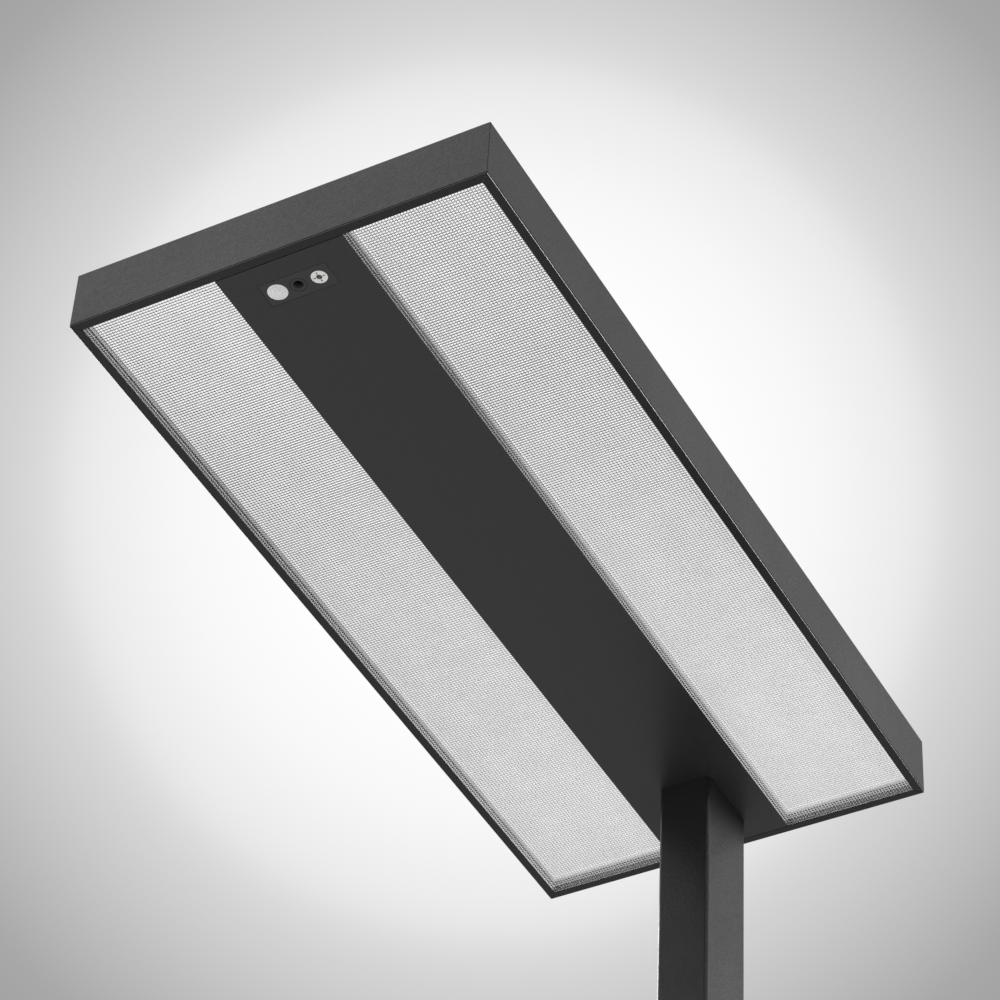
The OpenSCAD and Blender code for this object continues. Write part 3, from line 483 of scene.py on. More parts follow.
def opalSheet(name, s=opalSettings):
    # opal acrylic lit from behind: a cosine along the boards makes soft spots over the chips, fading with the
    # distance to the nearest board, and the whole sheet changes slowly towards the pole
    material, tree, shader = newMaterial(name)
    place = objectPlace(tree)
    x, y, z = axes(tree, place)
    rows = calc(tree, "COSINE", times(tree, y, 2 * math.pi / (s["rowPitch"] * mm)))
    across = calc(tree, "ABSOLUTE", x)
    gaps = [calc(tree, "ABSOLUTE", minus(tree, across, board * mm)) for board in s["boards"]]
    over = stretch(tree, calc(tree, "MINIMUM", *gaps), 0.0, s["spotReach"] * mm, 1.0, 0.0, smooth=True)
    spot = times(tree, stretch(tree, rows, -1.0, 1.0, s["betweenRows"], 1.0), over)
    cloud = swing(tree, noise(tree, place, s["cloudScale"]), s["cloud"])
    glow = plus(tree, stretch(tree, spot, 0.0, 1.0, *s["glow"]), cloud)
    far, half = s["liftOver"] * mm, s["lift"] / 2
    level = times(tree, glow, stretch(tree, y, -far, far, 1.0 - half, 1.0 + half))
    light = addNode(tree, "ShaderNodeCombineColor", {0: level, 1: level, 2: level})
    connect(tree, shader, {"Emission Color": light.outputs[0]})
    shader["Emission Strength"].default_value = s["strength"][name]
    skin = plasticSkin(tree, s)
    finish(tree, shader, skin["Colour"], skin)
    return material


dialSettings = dict(
    tone=(0.95, 0.95, 0.94, 1.0), grainSize=0.25, depth=0.1, gloss=0.30,
    slotShadeFrom=1903.25, slotShadeFull=1903.40, slotShadeTone=0.01,  # heights in mm where painted shade in the slots starts and is full, and its tone
    centre=(15.0, -298.0), hub=1.3, hubTone=0.16,
)


def dialPlastic(s=dialSettings):
    # a light moulding with a darker hub, and painted shade in its slots: darker by height, as its face looks
    # down
    material, tree, shader = newMaterial("dialMoulding")
    skin = plasticSkin(tree, s)
    place = objectPlace(tree)
    centre = (s["centre"][0] * mm, s["centre"][1] * mm, 0)
    away = vectorCalc(tree, "DISTANCE", vectorCalc(tree, "MULTIPLY", place, (1, 1, 0)), centre)
    hub = calc(tree, "LESS_THAN", away, s["hub"] * mm)
    deep = stretch(tree, axes(tree, place)[2], s["slotShadeFrom"] * mm, s["slotShadeFull"] * mm)
    face = mixColour(tree, hub, skin["Colour"], grey(s["hubTone"]))
    # painted shade in the slots, over the face and the hub
    finish(tree, shader, mixColour(tree, deep, face, grey(s["slotShadeTone"])), skin)
    return material


# stretched: how the marks are drawn out along each axis, where a small number means long
metals = {
    "millAluminium": dict(tone=(0.66, 0.66, 0.68, 1.0), gloss=0.36, stretched=(1, 1, 0.03), depth=0.3),
    "zincPlate": dict(tone=(0.56, 0.57, 0.60, 1.0), gloss=0.32, stretched=(1, 0.4, 1), depth=0.15),
}
brightStreak = 1.12  # how much brighter a streak can be than the metal's tone


def drawnMetal(name):
    s = metals[name]
    material, tree, shader = newMaterial(name)
    marks = useGroup(tree, brushMarks, {"Stretch": s["stretched"], "Depth": s["depth"], "Gloss": s["gloss"]})
    bright = timesTone(s["tone"], brightStreak)
    finish(tree, shader, mixColour(tree, stretch(tree, marks["Streak"], *usual), s["tone"], bright), marks)
    shader["Metallic"].default_value = 1.0
    return material


turnedSettings = dict(
    tone=(0.40, 0.40, 0.41, 1.0), brightRing=1.2, gloss=0.28,
    ringScale=5200.0, smudgeScale=140.0,
    ringGloss=0.07, smudgeGloss=(-0.05, 0.08),
    ringDepth=0.02, ringStrength=0.4,  # depth in mm
)


def turnedMetal(name, centre, s=turnedSettings):
    # a cap turned in a lathe that spins about Y: fine rings, by the distance from the axis
    material, tree, shader = newMaterial(name)
    place = objectPlace(tree)
    offset = vectorCalc(tree, "SUBTRACT", place, tuple(c * mm for c in centre))
    radius = vectorCalc(tree, "LENGTH", vectorCalc(tree, "MULTIPLY", offset, (1, 0, 1)))
    spot = addNode(tree, "ShaderNodeCombineXYZ", {0: radius}).outputs[0]
    ring = noise(tree, spot, s["ringScale"], detail=3.0, roughness=0.6)
    smudge = stretch(tree, noise(tree, place, s["smudgeScale"]), *usual, *s["smudgeGloss"])
    uneven = plus(tree, swing(tree, ring, s["ringGloss"]), smudge)
    bright = timesTone(s["tone"], s["brightRing"])
    connect(tree, shader, {
        "Base Color": mixColour(tree, stretch(tree, ring, *usual), s["tone"], bright),
        "Roughness": plus(tree, s["gloss"], uneven),
        "Normal": bumps(tree, ring, s["ringStrength"], s["ringDepth"] * mm)})
    shader["Metallic"].default_value = 1.0
    return material


boardSettings = dict(
    grainSize=0.6, depth=0.1, gloss=0.3, phosphor=(0.86, 0.70, 0.22, 1.0),
    trackScale=90.0, trackWidth=0.06, oddField=0.15, trackShade=0.25, trackTone=0.6,
    trackHeight=0.05, trackStrength=0.4,  # height in mm
)

# chipEdge: the height, in mm, above or below which the chips' phosphor takes over
boards = {
    "boardDown": dict(tone=(0.86, 0.86, 0.84, 1.0), chipEdge=1929.35, chips="LESS_THAN"),
    "boardUp": dict(tone=(0.86, 0.86, 0.84, 1.0), chipEdge=1934.15, chips="GREATER_THAN"),
    "boardSensor": dict(tone=(0.80, 0.81, 0.78, 1.0)),
}


def circuitBoard(name):
    # white solder mask over copper tracks, which stand up a little and show as a slightly darker grid
    s = {**boardSettings, **boards[name]}
    material, tree, shader = newMaterial(name)
    place = objectPlace(tree)
    tracks = addNode(tree, "ShaderNodeTexBrick", {
        "Vector": place, "Scale": s["trackScale"], "Mortar Size": s["trackWidth"],
        "Color1": grey(0.0), "Color2": grey(s["oddField"]), "Mortar": grey(1.0)}).outputs["Fac"]
    skin = plasticSkin(tree, s)
    tone = mixColour(tree, times(tree, tracks, s["trackShade"]), skin["Colour"],
                     timesTone(s["tone"], s["trackTone"]))
    if "chips" in s:
        chips = calc(tree, s["chips"], axes(tree, place)[2], s["chipEdge"] * mm)
        tone = mixColour(tree, chips, tone, s["phosphor"])
    raised = bumps(tree, tracks, s["trackStrength"], s["trackHeight"] * mm, skin["Normal"])
    connect(tree, shader, {"Base Color": tone, "Roughness": skin["Roughness"], "Normal": raised})
    return material


sharpPast = 32  # degrees between two faces past which their edge is sharp


def placePiece(name, mesh, material, body, sharp):
    mesh.polygons.foreach_set("use_smooth", np.ones(len(mesh.polygons), bool))
    mesh.set_sharp_from_angle(angle=math.radians(sharp))
    mesh.materials.clear()
    mesh.materials.append(material)
    piece = newObject(name, mesh)
    even = piece.modifiers.new("evenShading", "WEIGHTED_NORMAL")  # flat faces stay flat beside eased edges
    even.keep_sharp, even.weight = True, 100
    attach(piece, body)
    return piece


def addPiece(name, parts, material, body="lamp", sharp=sharpPast):
    # parts: (points in metres, faces) of each closed surface
    points, faces, base = [], [], 0
    for spots, sides in parts:
        spots = np.asarray(spots).reshape(-1, 3)
        points.append(spots)
        faces += [[v + base for v in side] for side in sides]
        base += len(spots)
    mesh = bpy.data.meshes.new(name)
    mesh.from_pydata(np.concatenate(points).tolist(), [], faces)
    mesh.validate()
    work = bmesh.new()
    work.from_mesh(mesh)
    bmesh.ops.remove_doubles(work, verts=work.verts, dist=1e-7)
    bmesh.ops.recalc_face_normals(work, faces=work.faces)
    work.to_mesh(mesh)
    work.free()
    return placePiece(name, mesh, material, body, sharp)


def easedCopy(node, name, material, width, segments=2, body="lamp", sharp=sharpPast):
    # a plate or housing with many openings: the CAD node's own faces, merged, with each sharp edge eased
    mesh = frame["nodes"][node].data.copy()
    work = bmesh.new()
    work.from_mesh(mesh)
    bmesh.ops.remove_doubles(work, verts=work.verts, dist=1e-6)
    bmesh.ops.dissolve_limit(work, angle_limit=math.radians(0.5), verts=work.verts, edges=work.edges)
    bmesh.ops.recalc_face_normals(work, faces=work.faces)
    limit = math.radians(sharp)
    sharpEdges = [e for e in work.edges if len(e.link_faces) == 2 and e.calc_face_angle(0) > limit]
    bmesh.ops.bevel(work, geom=sharpEdges, offset=width * mm, offset_type="OFFSET", segments=segments,
                    profile=0.5, affect="EDGES", clamp_overlap=True)
    work.to_mesh(mesh)
    work.free()
    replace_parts(placePiece(name, mesh, material, body, sharp), node)


def gridFaces(rows, columns, closeRows=False):
    # quads between neighbours of a grid of points stored row after row, each row closed to a ring
    i = np.arange(rows if closeRows else rows - 1)[:, None]
    j = np.arange(columns)[None, :]
    here, there = i * columns, (i + 1) % rows * columns
    right = (j + 1) % columns
    quads = np.stack(np.broadcast_arrays(here + j, here + right, there + right, there + j), -1)
    return quads.reshape(-1, 4).tolist()


def ends(rows, columns):
    # the first and the last row of such a grid, as one face each
    last = (rows - 1) * columns
    return [list(range(columns)), list(range(last, last + columns))]


def arc(centre, radius, start, end, steps):
    # points on a quarter or other part of a circle, angles in degrees
    a = np.radians(np.linspace(start, end, steps + 1))
    return np.stack([centre[0] + radius * np.cos(a), centre[1] + radius * np.sin(a)], -1)


def lathe(profile, place, axis, around=96, closed=True, bump=None):
    # A profile of (radius, height) rows is carried round an axis that starts at place. A third number above 0
    # makes the row a hexagon of that apothem, cut off at the radius. A fourth scales bump(angle, radius), which
    # raises the row. closed joins the last row to the first, round a bore; otherwise both ends are capped.
    rows = np.array([tuple(r) + (0.0,) * (4 - len(r)) for r in profile])
    angle = np.linspace(0, 2 * np.pi, around, endpoint=False)[None, :]
    radius, height, apothem, share = (rows[:, k:k + 1] + 0 * angle for k in range(4))
    toFlat = np.cos(angle % (np.pi / 3) - np.pi / 6)
    radius = np.where(apothem > 0, np.minimum(radius, apothem / toFlat), radius)
    if bump is not None:
        height = height + share * bump(angle, radius)
    local = np.stack([radius * np.cos(angle), radius * np.sin(angle), height], -1)
    tilt = np.array(Vector((0, 0, 1)).rotation_difference(Vector(axis)).to_matrix())
    points = (local @ tilt.T + np.asarray(place, float)) * mm
    faces = gridFaces(len(rows), around, closeRows=closed)
    return points, faces if closed else faces + ends(len(rows), around)


def ridges(radius, depth, start, end, pitch):
    # rows of a thread: the radius drops by depth between crests that are pitch apart
    crests = np.arange(start, end, pitch)
    return [row for z in crests for row in ((radius, z), (radius - depth, z + pitch / 2))]


barSettings = dict(
    length=658.0, width=300.0, bottom=1903.0, height=47.0,
    wall=1.8, lip=6.0, lipThick=1.0,
    bottomRound=0.8, topRound=0.4, lipRound=0.25, topEdge=0.3,
    groove=(1.3, 0.7, 0.9, 0.1),  # height, width, depth and slope of the shadow groove in the outer face
    ledges=((6.0, 13.9, 15.5), (6.0, 26.4, 28.0), (11.0, 43.9, 45.5)),  # reach, lower and upper height
    mitreGap=0.06,
    # how far from the mitre the outline is shrunk by how much
    mitreEase=((0.0, 0.3), (0.075, 0.09), (0.3, 0.0), (60.0, 0.0)),
)


def barProfile(s):
    # closed outline of a bar, as (distance in from the outer face, height)
    rb, rt, rl = s["bottomRound"], s["topRound"], s["lipRound"]
    wall, height, edge = s["wall"], s["height"], s["topEdge"]
    at, wide, deep, slope = s["groove"]
    steps = [[(wall, a), (reach, a), (reach, b), (wall, b)] for reach, a, b in s["ledges"]]
    return np.concatenate([
        arc((rb, rb), rb, 180, 270, steps=8),
        arc((s["lip"] - rl, rl), rl, -90, 0, steps=4),
        [(s["lip"], s["lipThick"]), (wall, s["lipThick"])],
        *steps,
        [(wall, height - edge), (wall - edge, height)],
        arc((rt, height - rt), rt, 90, 180, steps=4),
        [(0, at + wide), (deep, at + wide - slope), (deep, at + slope), (0, at)],
    ])


def inward(profile):
    # unit normals of a closed outline that runs so that its inside is on the left
    ahead = np.roll(profile, -1, 0) - profile
    ahead /= np.linalg.norm(ahead, axis=1, keepdims=True)
    both = ahead + np.roll(ahead, 1, 0)
    normal = np.stack([-both[:, 1], both[:, 0]], -1)
    return normal / np.maximum(np.linalg.norm(normal, axis=1, keepdims=True), 1e-9)


def frameBar(name, node, across, length, turn, material, s=barSettings):
    # The profile is carried from one mitre to the other. A point at distance d in from the outer face runs to
    # length / 2 - d, and near each mitre the outline shrinks a little, which eases the joint's edge.
    profile = barProfile(s)
    pull = inward(profile)
    stations = [(-1, *step) for step in s["mitreEase"]] + [(1, *step) for step in s["mitreEase"][::-1]]
    rows = []
    for side, back, shrink in stations:
        outline = profile + pull * shrink
        along = side * (length / 2 - outline[:, 0] - s["mitreGap"] - back)
        rows.append(np.stack([across / 2 - outline[:, 0], along, s["bottom"] + outline[:, 1]], -1))
    a = math.radians(turn)
    spin = np.array([[math.cos(a), -math.sin(a), 0], [math.sin(a), math.cos(a), 0], [0, 0, 1]])
    points = np.stack(rows) @ spin.T * mm
    size = (len(stations), len(profile))
    part = (points, gridFaces(*size) + ends(*size))
    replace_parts(addPiece(name, [part], material), node)


def buildFrame(s=barSettings):
    length, width, height = s["length"], s["width"], s["height"]
    middle = (0, 0, s["bottom"] + height / 2)
    coat = powderCoat("coatFrame", centre=middle, half=(width / 2, length / 2, height / 2))
    frameBar("frameBarRight", "frame_side_right", width, length, 0, coat)
    frameBar("frameBarLeft", "frame_side_left", width, length, 180, coat)
    frameBar("frameBarRear", "frame_end_rear", length, width, 90, coat)
    frameBar("frameBarFront", "frame_end_front", length, width, -90, coat)
    print("head frame: four mitred bars")


prismSettings = dict(
    pitchX=2.21, pitchY=2.15,
    fromX=41.75, toX=147.95, halfY=326.95,
    tip=1904.03, root=1904.49, top=1905.98,
    flatX=0.709, flatY=0.60,  # size of a cell's flat tip, as a share of the pitch
    sharp=5,
)


def prismPanel(name, node, side, material, s=prismSettings):
    # A flat sheet whose lower face is a field of square pyramids with flat tips. A cell's corners are at the
    # root's height, and four slopes join them to an inner square at the tip's height. Through a flat tip the
    # eye sees the diffuser, and a slope turns its view down to the floor.
    nx = round((s["toX"] - s["fromX"]) / s["pitchX"])
    ny = round(2 * s["halfY"] / s["pitchY"])
    x = np.linspace(s["fromX"], s["toX"], nx + 1)
    y = np.linspace(-s["halfY"], s["halfY"], ny + 1)
    gx, gy = np.meshgrid(x, y, indexing="ij")
    roots = np.stack([gx, gy, np.full_like(gx, s["root"])], -1).reshape(-1, 3)
    cx, cy = np.meshgrid((x[1:] + x[:-1]) / 2, (y[1:] + y[:-1]) / 2, indexing="ij")
    level = np.full_like(cx, s["tip"])
    reachX, reachY = s["flatX"] * (x[1] - x[0]) / 2, s["flatY"] * (y[1] - y[0]) / 2
    tips = [np.stack([cx + i * reachX, cy + j * reachY, level], -1).reshape(-1, 3) for i, j in corners]
    i, j = np.meshgrid(np.arange(nx), np.arange(ny), indexing="ij")
    a = (i * (ny + 1) + j).ravel()
    outer = (a, a + ny + 1, a + ny + 2, a + 1)
    inner = tuple(len(roots) + k * nx * ny + np.arange(nx * ny) for k in range(4))
    cells = [np.stack(inner[::-1], -1)]
    for k in range(4):
        n = (k + 1) % 4
        cells.append(np.stack([outer[k], inner[k], inner[n], outer[n]], -1))
    rims = [(x[i], y[j]) for i, j in ((0, 0), (-1, 0), (-1, -1), (0, -1))]
    roof = np.column_stack([rims, np.full(4, s["top"])])
    up = len(roots) + 4 * nx * ny
    rim = np.arange(len(roots)).reshape(nx + 1, ny + 1)
    walls = [[*rim[:, 0], up + 1, up], [*rim[-1, :], up + 2, up + 1],
             [*rim[::-1, -1], up + 3, up + 2], [*rim[0, ::-1], up, up + 3]]
    points = np.concatenate([roots, *tips, roof]) * np.array([side, 1, 1]) * mm
    faces = np.concatenate(cells).tolist() + [[int(v) for v in wall] for wall in walls]
    faces.append([up, up + 1, up + 2, up + 3])
    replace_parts(addPiece(name, [(points, faces)], material, sharp=s["sharp"]), node)


def buildPanels():
    acrylic = clearAcrylic()
    prismPanel("prismPanelLeft", "prism_panel_left", -1, acrylic)
    prismPanel("prismPanelRight", "prism_panel_right", 1, acrylic)
    print("prism panels: two fields of pyramids")


lensSettings = dict(
    place=(-15.0, -298.0, 1903.0), across=13.3, rise=2.0, wall=0.8,
    flange=1.1, seat=3.5, flangeThick=1.0, top=11.5,
    hub=0.5,  # radius within which no spoke runs
    rings=(1.9, 3.7, 5.4), sectors=(5, 8, 12),  # radius of each ring of lenslets, and how many are in it
    groove=0.28, grooveWide=0.30,
    rows=(30, 8), around=180, sharp=40,  # rows of the outer and inner dome, points round it, and degrees
)


def lensGrooves(s):
    # depth of the grooves between lenslets: deepest on a ring or a spoke, fading with the distance from it
    def bump(angle, radius):
        nearest = np.full(radius.shape, s["across"])
        inner = s["hub"]
        for ring, count in zip(s["rings"], s["sectors"]):
            turn = angle * count / (2 * np.pi)
            spoke = radius * np.abs((turn + 0.5) % 1 - 0.5) * 2 * np.pi / count
            here = (radius > inner) & (radius <= ring)
            nearest = np.where(here, np.minimum(nearest, spoke), nearest)
            nearest = np.minimum(nearest, np.abs(radius - ring))
            inner = ring
        return s["groove"] * np.exp(-(nearest / s["grooveWide"]) ** 2)
    return bump


def buildLens(s=lensSettings):
    # a dome cut from a ball, on a short tube with a flange; the dome's width and rise give the ball's radius
    r, rise, wall = s["across"] / 2, s["rise"], s["wall"]
    ball = (r * r + rise * rise) / (2 * rise)

    def cap(radius, size, steps):
        a = np.linspace(0, math.asin(radius / size), steps)
        return np.stack([size * np.sin(a), ball - rise - size * np.cos(a)], -1)

    outerRows, innerRows = s["rows"]
    outer = [(x, z, 0.0, 1.0) for x, z in cap(r, ball, outerRows)]
    inner = [(x, z) for x, z in cap(r - wall, ball - wall, innerRows)[::-1]]
    flange, seat, rim = r + s["flange"], s["seat"], s["seat"] + s["flangeThick"]
    tube = [(r, seat), (flange, seat), (flange, rim), (r, rim), (r, s["top"]), (r - wall, s["top"])]
    part = lathe(outer + tube + inner, s["place"], (0, 0, 1), around=s["around"], bump=lensGrooves(s))
    piece = addPiece("motionLens", [part], mouldedPlastic("milkyLens"), sharp=s["sharp"])
    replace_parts(piece, "pir_lens")


tubeSettings = dict(
    place=(0.0, -298.0, 1903.0), across=10.8, bore=6.0, seat=3.5, flange=0.9, flangeThick=1.0,
    neck=4.0, top=11.5, edge=0.25, mouth=0.5,
    baffle=0.35, bafflePitch=1.0, baffles=(0.8, 10.5),  # where the rings in the bore start and end
)


def buildPhotocellTube(material, s=tubeSettings):
    # a turned tube with a flange, and dark rings in its bore that keep stray light off the photocell
    r, bore, edge, seat, mouth = s["across"] / 2, s["bore"] / 2, s["edge"], s["seat"], s["mouth"]
    flange, rim, top, neck = r + s["flange"], seat + s["flangeThick"], s["top"], s["neck"]
    baffles = ridges(bore + s["baffle"], s["baffle"], *s["baffles"], s["bafflePitch"])[::-1]
    profile = [(bore + mouth, 0.0), *arc((r - edge, edge), edge, -90, 0, steps=4), (r, seat), (flange, seat),
               (flange, rim), (neck, rim), (neck, top), (bore, top), *baffles, (bore, mouth)]
    piece = addPiece("photocellTube", [lathe(profile, s["place"], (0, 0, 1))], material)
    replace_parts(piece, "photocell_tube")


buttonSettings = dict(
    place=(0.0, 247.0, 1100.0), axis=(0, -1, 0),
    cap=6.1, capTop=3.9, capRound=0.5, dish=0.3, dishEdge=5.2, dishMiddle=0.01, dishRows=14,
    collar=6.65, collarBack=-2.3, collarFront=-0.8, collarEdge=0.2,
    stem=2.5, stemBack=-9.5, stemEdge=0.3,
)


def buildButton(s=buttonSettings):
    # a stem, a collar that stops in the bezel, and a round-edged cap whose face is a shallow dish: a parabola
    # that is dish deep in the middle
    top, r, cap, stem, collar = s["capTop"], s["capRound"], s["cap"], s["stem"], s["collar"]
    back, front, edge, stemEdge = s["collarBack"], s["collarFront"], s["collarEdge"], s["stemEdge"]
    shares = np.linspace(1, s["dishMiddle"], s["dishRows"])
    dish = [(s["dishEdge"] * t, top - s["dish"] * (1 - t * t)) for t in shares]
    profile = [(stem - stemEdge, s["stemBack"]), (stem, s["stemBack"] + stemEdge), (stem, back),
               (collar - edge, back), (collar, back + edge), (collar, front - edge), (collar - edge, front),
               (cap, front), *arc((cap - r, top - r), r, 0, 90, steps=6), *dish]
    part = lathe(profile, s["place"], s["axis"], closed=False)
    satin = turnedMetal("turnedCap", s["place"])
    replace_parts(addPiece("pushButton", [part], satin, body="button"), "push_button")


bezelSettings = dict(
    outer=10.5, thick=2.0, round=0.6, foot=0.1, hole=6.18, holeRound=0.3, shoulder=-0.5,
    sleeve=8.0, sleeveBack=-9.0, sleeveBore=7.0, undercut=0.3,
    thread=0.3, threadPitch=0.75, threadStart=0.4, threadEnd=-0.5,
)


def buildButtonBezel(black, s=bezelSettings):
    # a round-edged ring in front of the pole, and a threaded sleeve behind it
    thick, r, outer, hole, lip = s["thick"], s["round"], s["outer"], s["hole"], s["holeRound"]
    sleeve, back, bore, start = s["sleeve"], s["sleeveBack"], s["sleeveBore"], s["threadStart"]
    thread = ridges(sleeve, s["thread"], back + start, s["threadEnd"], s["threadPitch"])
    profile = [(bore, back), (sleeve - start, back), *thread, (sleeve - s["undercut"], 0.0),
               (outer - s["foot"], 0.0), (outer, s["foot"]), *arc((outer - r, thick - r), r, 0, 90, steps=6),
               *arc((hole + lip, thick - lip), lip, 90, 180, steps=4), (hole, s["shoulder"]),
               (bore, s["shoulder"])]
    part = lathe(profile, buttonSettings["place"], buttonSettings["axis"])
    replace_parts(addPiece("buttonBezel", [part], black), "button_bezel")


glandSettings = dict(
    place=(0.0, 307.0, 112.0), axis=(0, 1, 0),
    apothem=9.5, corner=10.6, flangeThick=4.0, footEdge=(0.6, 0.5), faceEdge=(1.2, 0.6),
    thread=7.9, threadDepth=0.5, threadPitch=1.5, threadStart=0.5, threadEnd=1.0,
    back=-7.0, front=12.0, bore=4.7, seatBore=5.98, seat=7.0,
)


def buildGlandBody(black, s=glandSettings):
    # threads behind and in front of a hexagon flange, whose corners are turned off, and a seat for the seal
    flat, corner, thick, start = s["apothem"], s["corner"], s["flangeThick"], s["threadStart"]
    back, front, bore, seat = s["back"], s["front"], s["bore"], s["seatBore"]
    thread, depth, pitch = s["thread"], s["threadDepth"], s["threadPitch"]
    core = thread - depth
    inner = ridges(thread, depth, back + start, -start, pitch)
    outer = ridges(thread, depth, thick + start, front - s["threadEnd"], pitch)
    (footIn, footUp), (faceIn, faceDown) = s["footEdge"], s["faceEdge"]
    profile = [(bore, back), (core, back), *inner, (core, 0.0), (corner - footIn, 0.0, flat),
               (corner, footUp, flat), (corner, thick - faceDown, flat), (corner - faceIn, thick, flat),
               (core, thick), *outer, (core, front), (seat, front), (seat, s["seat"]), (bore, s["seat"])]
    body = addPiece("glandBody", [lathe(profile, s["place"], s["axis"])], black)
    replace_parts(body, "gland_body")


nutSettings = dict(
    back=4.4, hexFront=11.5, front=17.5, bore=8.0, boreEnd=12.1, mouth=4.25, mouthRound=0.5,
    domeFoot=9.2, domeTop=6.27, domeRound=0.4, domeBulge=0.8, domeRows=12, grip=0.9, around=120,
)


def buildGlandNut(black, s=nutSettings):
    # A hexagon that runs out into a dome. Up the dome the radius shrinks with a cosine, a little blunted, and
    # the height grows with a sine.
    flat, corner = glandSettings["apothem"], glandSettings["corner"]
    back, hexFront, front, bore, g = s["back"], s["hexFront"], s["front"], s["bore"], s["grip"]
    foot, top, r, lip, mouth = s["domeFoot"], s["domeTop"], s["domeRound"], s["mouthRound"], s["mouth"]
    wide, rise = foot - top, front - hexFront - r
    turns = np.linspace(0, math.pi / 2, s["domeRows"])[:-1]
    dome = [(top + wide * math.cos(t) ** s["domeBulge"], hexFront + rise * math.sin(t)) for t in turns]
    profile = [(bore, back), (corner - g, back, flat), (corner, back + g / 2, flat),
               (corner, hexFront - g / 2, flat), (corner - g, hexFront, flat), *dome,
               *arc((top - r, front - r), r, 20, 90, steps=3),
               *arc((mouth + lip, front - lip), lip, 90, 180, steps=4),
               (mouth, s["boreEnd"]), (bore, s["boreEnd"])]
    part = lathe(profile, glandSettings["place"], glandSettings["axis"], around=s["around"])
    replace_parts(addPiece("glandNut", [part], black), "gland_dome_nut")


padSettings = dict(
    places=((-116, -67), (116, -67), (-116, 305), (116, 305)),
    radius=12.0, thick=3.0, round=0.8, topEdge=0.2, well=6.5, wellDeep=0.5, wellSlope=0.5,
    middle=0.2, around=64,  # radius of the middle of each face, and how many points run round a pad
)


def buildPads(rubber, s=padSettings):
    # rubber discs with a shallow round well in the face that meets the floor
    r, thick, low, edge = s["radius"], s["thick"], s["round"], s["topEdge"]
    well, deep, middle = s["well"], s["wellDeep"], s["middle"]
    profile = [(middle, deep), (well, deep), (well + s["wellSlope"], 0.0),
               *arc((r - low, low), low, -90, 0, steps=5),
               (r, thick - edge), (r - edge, thick), (middle, thick)]
    parts = [lathe(profile, (x, y, 0), (0, 0, 1), around=s["around"], closed=False) for x, y in s["places"]]
    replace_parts(addPiece("footPads", parts, rubber), "base_pads")


# node: new name, coat, slot, how far its edges are eased in mm, and in how many steps
housings = {
    "centre_strip": ("centreStrip", "coatStrip", "powder_coated_aluminium", 0.2, 2),
    "pole_tube": ("poleTube", "coatPole", "powder_coated_aluminium", 0.2, 2),
    "top_cover": ("topCover", "coatCover", "powder_coated_steel", 0.2, 2),
    "base_plate": ("basePlate", "coatBase", "powder_coated_steel", 0.8, 3),
}


def buildHousings():
    for node, (name, coat, slot, width, segments) in housings.items():
        easedCopy(node, name, powderCoat(coat), width, segments)
    print("housings: strip, pole, top cover and base plate")


def giveFinish(material, *nodes):
    for name in nodes:
        mesh = frame["nodes"][name].data
        if not mesh.materials:
            mesh.materials.append(material)
        for place in range(len(mesh.materials)):
            mesh.materials[place] = material


def buildSmallPieces():
    black, bezel, rubber = map(mouldedPlastic, ("blackMoulding", "bezelMoulding", "blackRubber"))
    easedCopy("sensor_bezel", "sensorBezel", bezel, width=0.2)
    easedCopy("adjust_dial", "adjustDial", dialPlastic(), width=0.1, body="adjuster")
    buildLens()
    buildPhotocellTube(bezel)
    buildButton()
    buildButtonBezel(black)
    buildGlandBody(black)
    buildGlandNut(black)
    buildPads(rubber)
    giveFinish(black, "sensor_cover", "switch_body", "gland_locknut")
    giveFinish(rubber, "supply_lead", "gland_seal")
    print("small pieces: sensor group, push button, cable gland, foot pads")


def finishInnerParts():
    for side, node in (("Down", "diffuser"), ("Up", "uplight_cover")):
        giveFinish(opalSheet("opal" + side), node + "_left", node + "_right")
    giveFinish(whitePaint("whiteSteel"), "carrier_deck")
    for name, node in (("boardDown", "led_boards_down"), ("boardUp", "led_boards_up"),
                       ("boardSensor", "sensor_board")):
        giveFinish(circuitBoard(name), node)
    giveFinish(mouldedPlastic("lightMoulding"), "led_driver", "head_terminal", "trimmer_body",
               "foot_connector")
    giveFinish(powderCoat("coatRails"), "channel_rail_left", "channel_rail_right")
    giveFinish(drawnMetal("millAluminium"), "head_spigot", "foot_spigot")
    giveFinish(drawnMetal("zincPlate"), "corner_brackets", "mount_plate", "corner_screws", "top_cover_screws",
               "strip_nuts", "rail_screws", "driver_screws", "mount_screws", "plate_screws", "spigot_screws",
               "pir_detector", "photocell", "sensor_screws", "switch_nut", "foot_bolts", "foot_grub_screws")
    print("finishes: the frame's own nodes")


stageSettings = dict(
    floorSize=60.0, openWithin=0.012,  # metres
    floorSeen=0.66,  # the floor's colour as the camera and glossy surfaces see it
    floorThrough=(0.80, 0.78),  # as a view turned down by a prism panel sees it, nearer and farther
    throughY=(1.4, 2.3),  # metres along Y of the nearer and the farther
    floorBounce=0.92,  # and as soft light bounces off it
    ambient=(0.40, 0.44), ambientHeights=(-0.3, 0.6),  # soft light from low and from high directions
    clearUnder=1898.0,  # mm; what reaches below it isn't seen through a prism panel
    # brightness of the pale background by distance from the photograph's line of sight, in radians
    background=((0.0, 0.99), (0.058, 0.985), (0.083, 0.935), (0.092, 0.90), (0.107, 0.835), (0.114, 0.78),
                (0.119, 0.715), (0.128, 0.65), (0.132, 0.63), (0.174, 0.392), (0.186, 0.365), (0.24, 0.36),
                (0.50, 0.40), (0.60, 0.28), (0.80, 0.18), (1.00, 0.67)),
)


def emptyTree(owner):
    owner.use_nodes = True
    owner.node_tree.nodes.clear()
    return owner.node_tree


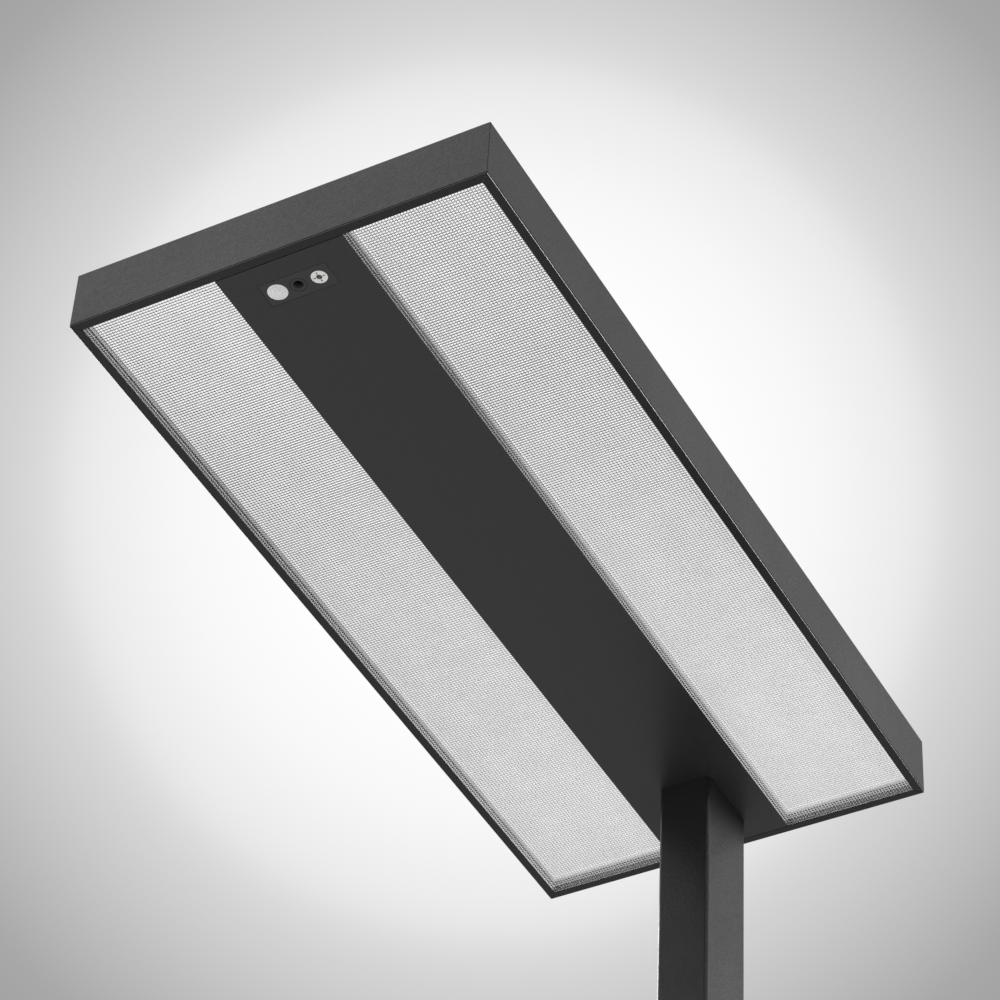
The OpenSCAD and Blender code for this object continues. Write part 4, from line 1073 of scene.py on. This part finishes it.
def buildWorld(s=stageSettings):
    # what is seen follows a ramp of greys round the line of sight, and what lights the lamp is nearly even
    world = bpy.data.worlds.new("studio")
    bpy.context.scene.world = world
    tree = emptyTree(world)
    way = addNode(tree, "ShaderNodeTexCoord").outputs["Generated"]
    ramp = addNode(tree, "ShaderNodeValToRGB")
    stops = s["background"]
    span = stops[-1][0]
    while len(ramp.color_ramp.elements) < len(stops):
        ramp.color_ramp.elements.new(0.5)
    for element, (distance, level) in zip(ramp.color_ramp.elements, stops):
        element.position = distance / span
        element.color = grey(level)
    apart = vectorCalc(tree, "DISTANCE", way, cameraSettings["look"])
    connect(tree, ramp.inputs, {"Fac": calc(tree, "DIVIDE", apart, span, clamp=True)})
    high = stretch(tree, axes(tree, way)[2], *s["ambientHeights"], smooth=True)
    soft = mixColour(tree, high, *(grey(level) for level in s["ambient"]))
    rays = addNode(tree, "ShaderNodeLightPath").outputs
    seen = calc(tree, "MAXIMUM", rays["Is Camera Ray"],
                calc(tree, "MAXIMUM", rays["Is Glossy Ray"], rays["Is Transmission Ray"]))
    light = addNode(tree, "ShaderNodeBackground", {"Color": mixColour(tree, seen, soft, ramp.outputs[0])})
    addNode(tree, "ShaderNodeOutputWorld", {"Surface": light.outputs[0]})


def buildFloor(s=stageSettings):
    half = s["floorSize"] / 2
    mesh = bpy.data.meshes.new("floor")
    mesh.from_pydata([(x * half, y * half, 0) for x, y in corners], [], [(0, 1, 2, 3)])
    floor = newObject("floor", mesh)
    material = bpy.data.materials.new("paleFloor")
    tree = emptyTree(material)
    rays = addNode(tree, "ShaderNodeLightPath").outputs
    seen = calc(tree, "MAXIMUM", rays["Is Camera Ray"], rays["Is Glossy Ray"])
    shade = mixColour(tree, seen, grey(s["floorBounce"]), grey(s["floorSeen"]))
    along = stretch(tree, axes(tree, objectPlace(tree))[1], *s["throughY"])
    lit = mixColour(tree, along, *(grey(level) for level in s["floorThrough"]))
    shade = mixColour(tree, rays["Is Transmission Ray"], shade, lit)
    paint = addNode(tree, "ShaderNodeBsdfDiffuse", {"Color": shade})
    clear = addNode(tree, "ShaderNodeBsdfTransparent")
    # seen from below the floor is open, and so it is for short rays, which lights the base plate's underside
    behind = addNode(tree, "ShaderNodeNewGeometry").outputs["Backfacing"]
    opened = calc(tree, "MAXIMUM", behind, calc(tree, "LESS_THAN", rays["Ray Length"], s["openWithin"]))
    both = addNode(tree, "ShaderNodeMixShader", {0: opened, 1: paint.outputs[0], 2: clear.outputs[0]})
    addNode(tree, "ShaderNodeOutputMaterial", {"Surface": both.outputs[0]})
    mesh.materials.append(material)


# way: direction to the lamp from its target; distance and size in m; power in W; beam: its width in degrees
lampSettings = {
    "key": dict(target=(0, 0, 1.9), way=(-0.417, -0.552, 0.722), distance=3.4, size=1.5, power=7, beam=180),
    "side": dict(target=(0, -0.5, 1.9), way=(0.745, 0.635, 0.19), distance=3.8, size=1.1, power=11, beam=50),
    "fill": dict(target=(0, 0, 1.9), way=(-0.85, 0.3, 0.5), distance=3.6, size=2.0, power=105, beam=180),
}


def buildLamps():
    for name, s in lampSettings.items():
        light = bpy.data.lights.new(name, "AREA")
        light.shape = "SQUARE"
        light.size = s["size"]
        light.energy = s["power"]
        light.spread = math.radians(s["beam"])
        lamp = newObject(name, light)
        lamp.visible_camera = lamp.visible_transmission = False
        way = Vector(s["way"]).normalized()
        lamp.location = Vector(s["target"]) + way * s["distance"]
        lamp.rotation_mode = "QUATERNION"
        lamp.rotation_quaternion = way.to_track_quat("Z", "Y")


def clearBelow(height):
    # The prism panels turn part of their view down, past the pole and onto the foot. The photograph shows
    # neither there, so light that passed through a panel meets no piece that reaches below the head.
    for piece in bpy.data.objects:
        if piece.type == "MESH" and piece.name != "floor":
            lowest = min((piece.matrix_world @ Vector(corner)).z for corner in piece.bound_box)
            piece.visible_transmission = lowest > height * mm


bpy.context.scene.view_settings.view_transform = "Standard"
buildCamera()
buildWorld()
buildFloor()
buildLamps()
print("stage: camera, world, floor and lamps")
buildFrame()
buildPanels()
buildHousings()
buildSmallPieces()
finishInnerParts()
clearBelow(stageSettings["clearUnder"])
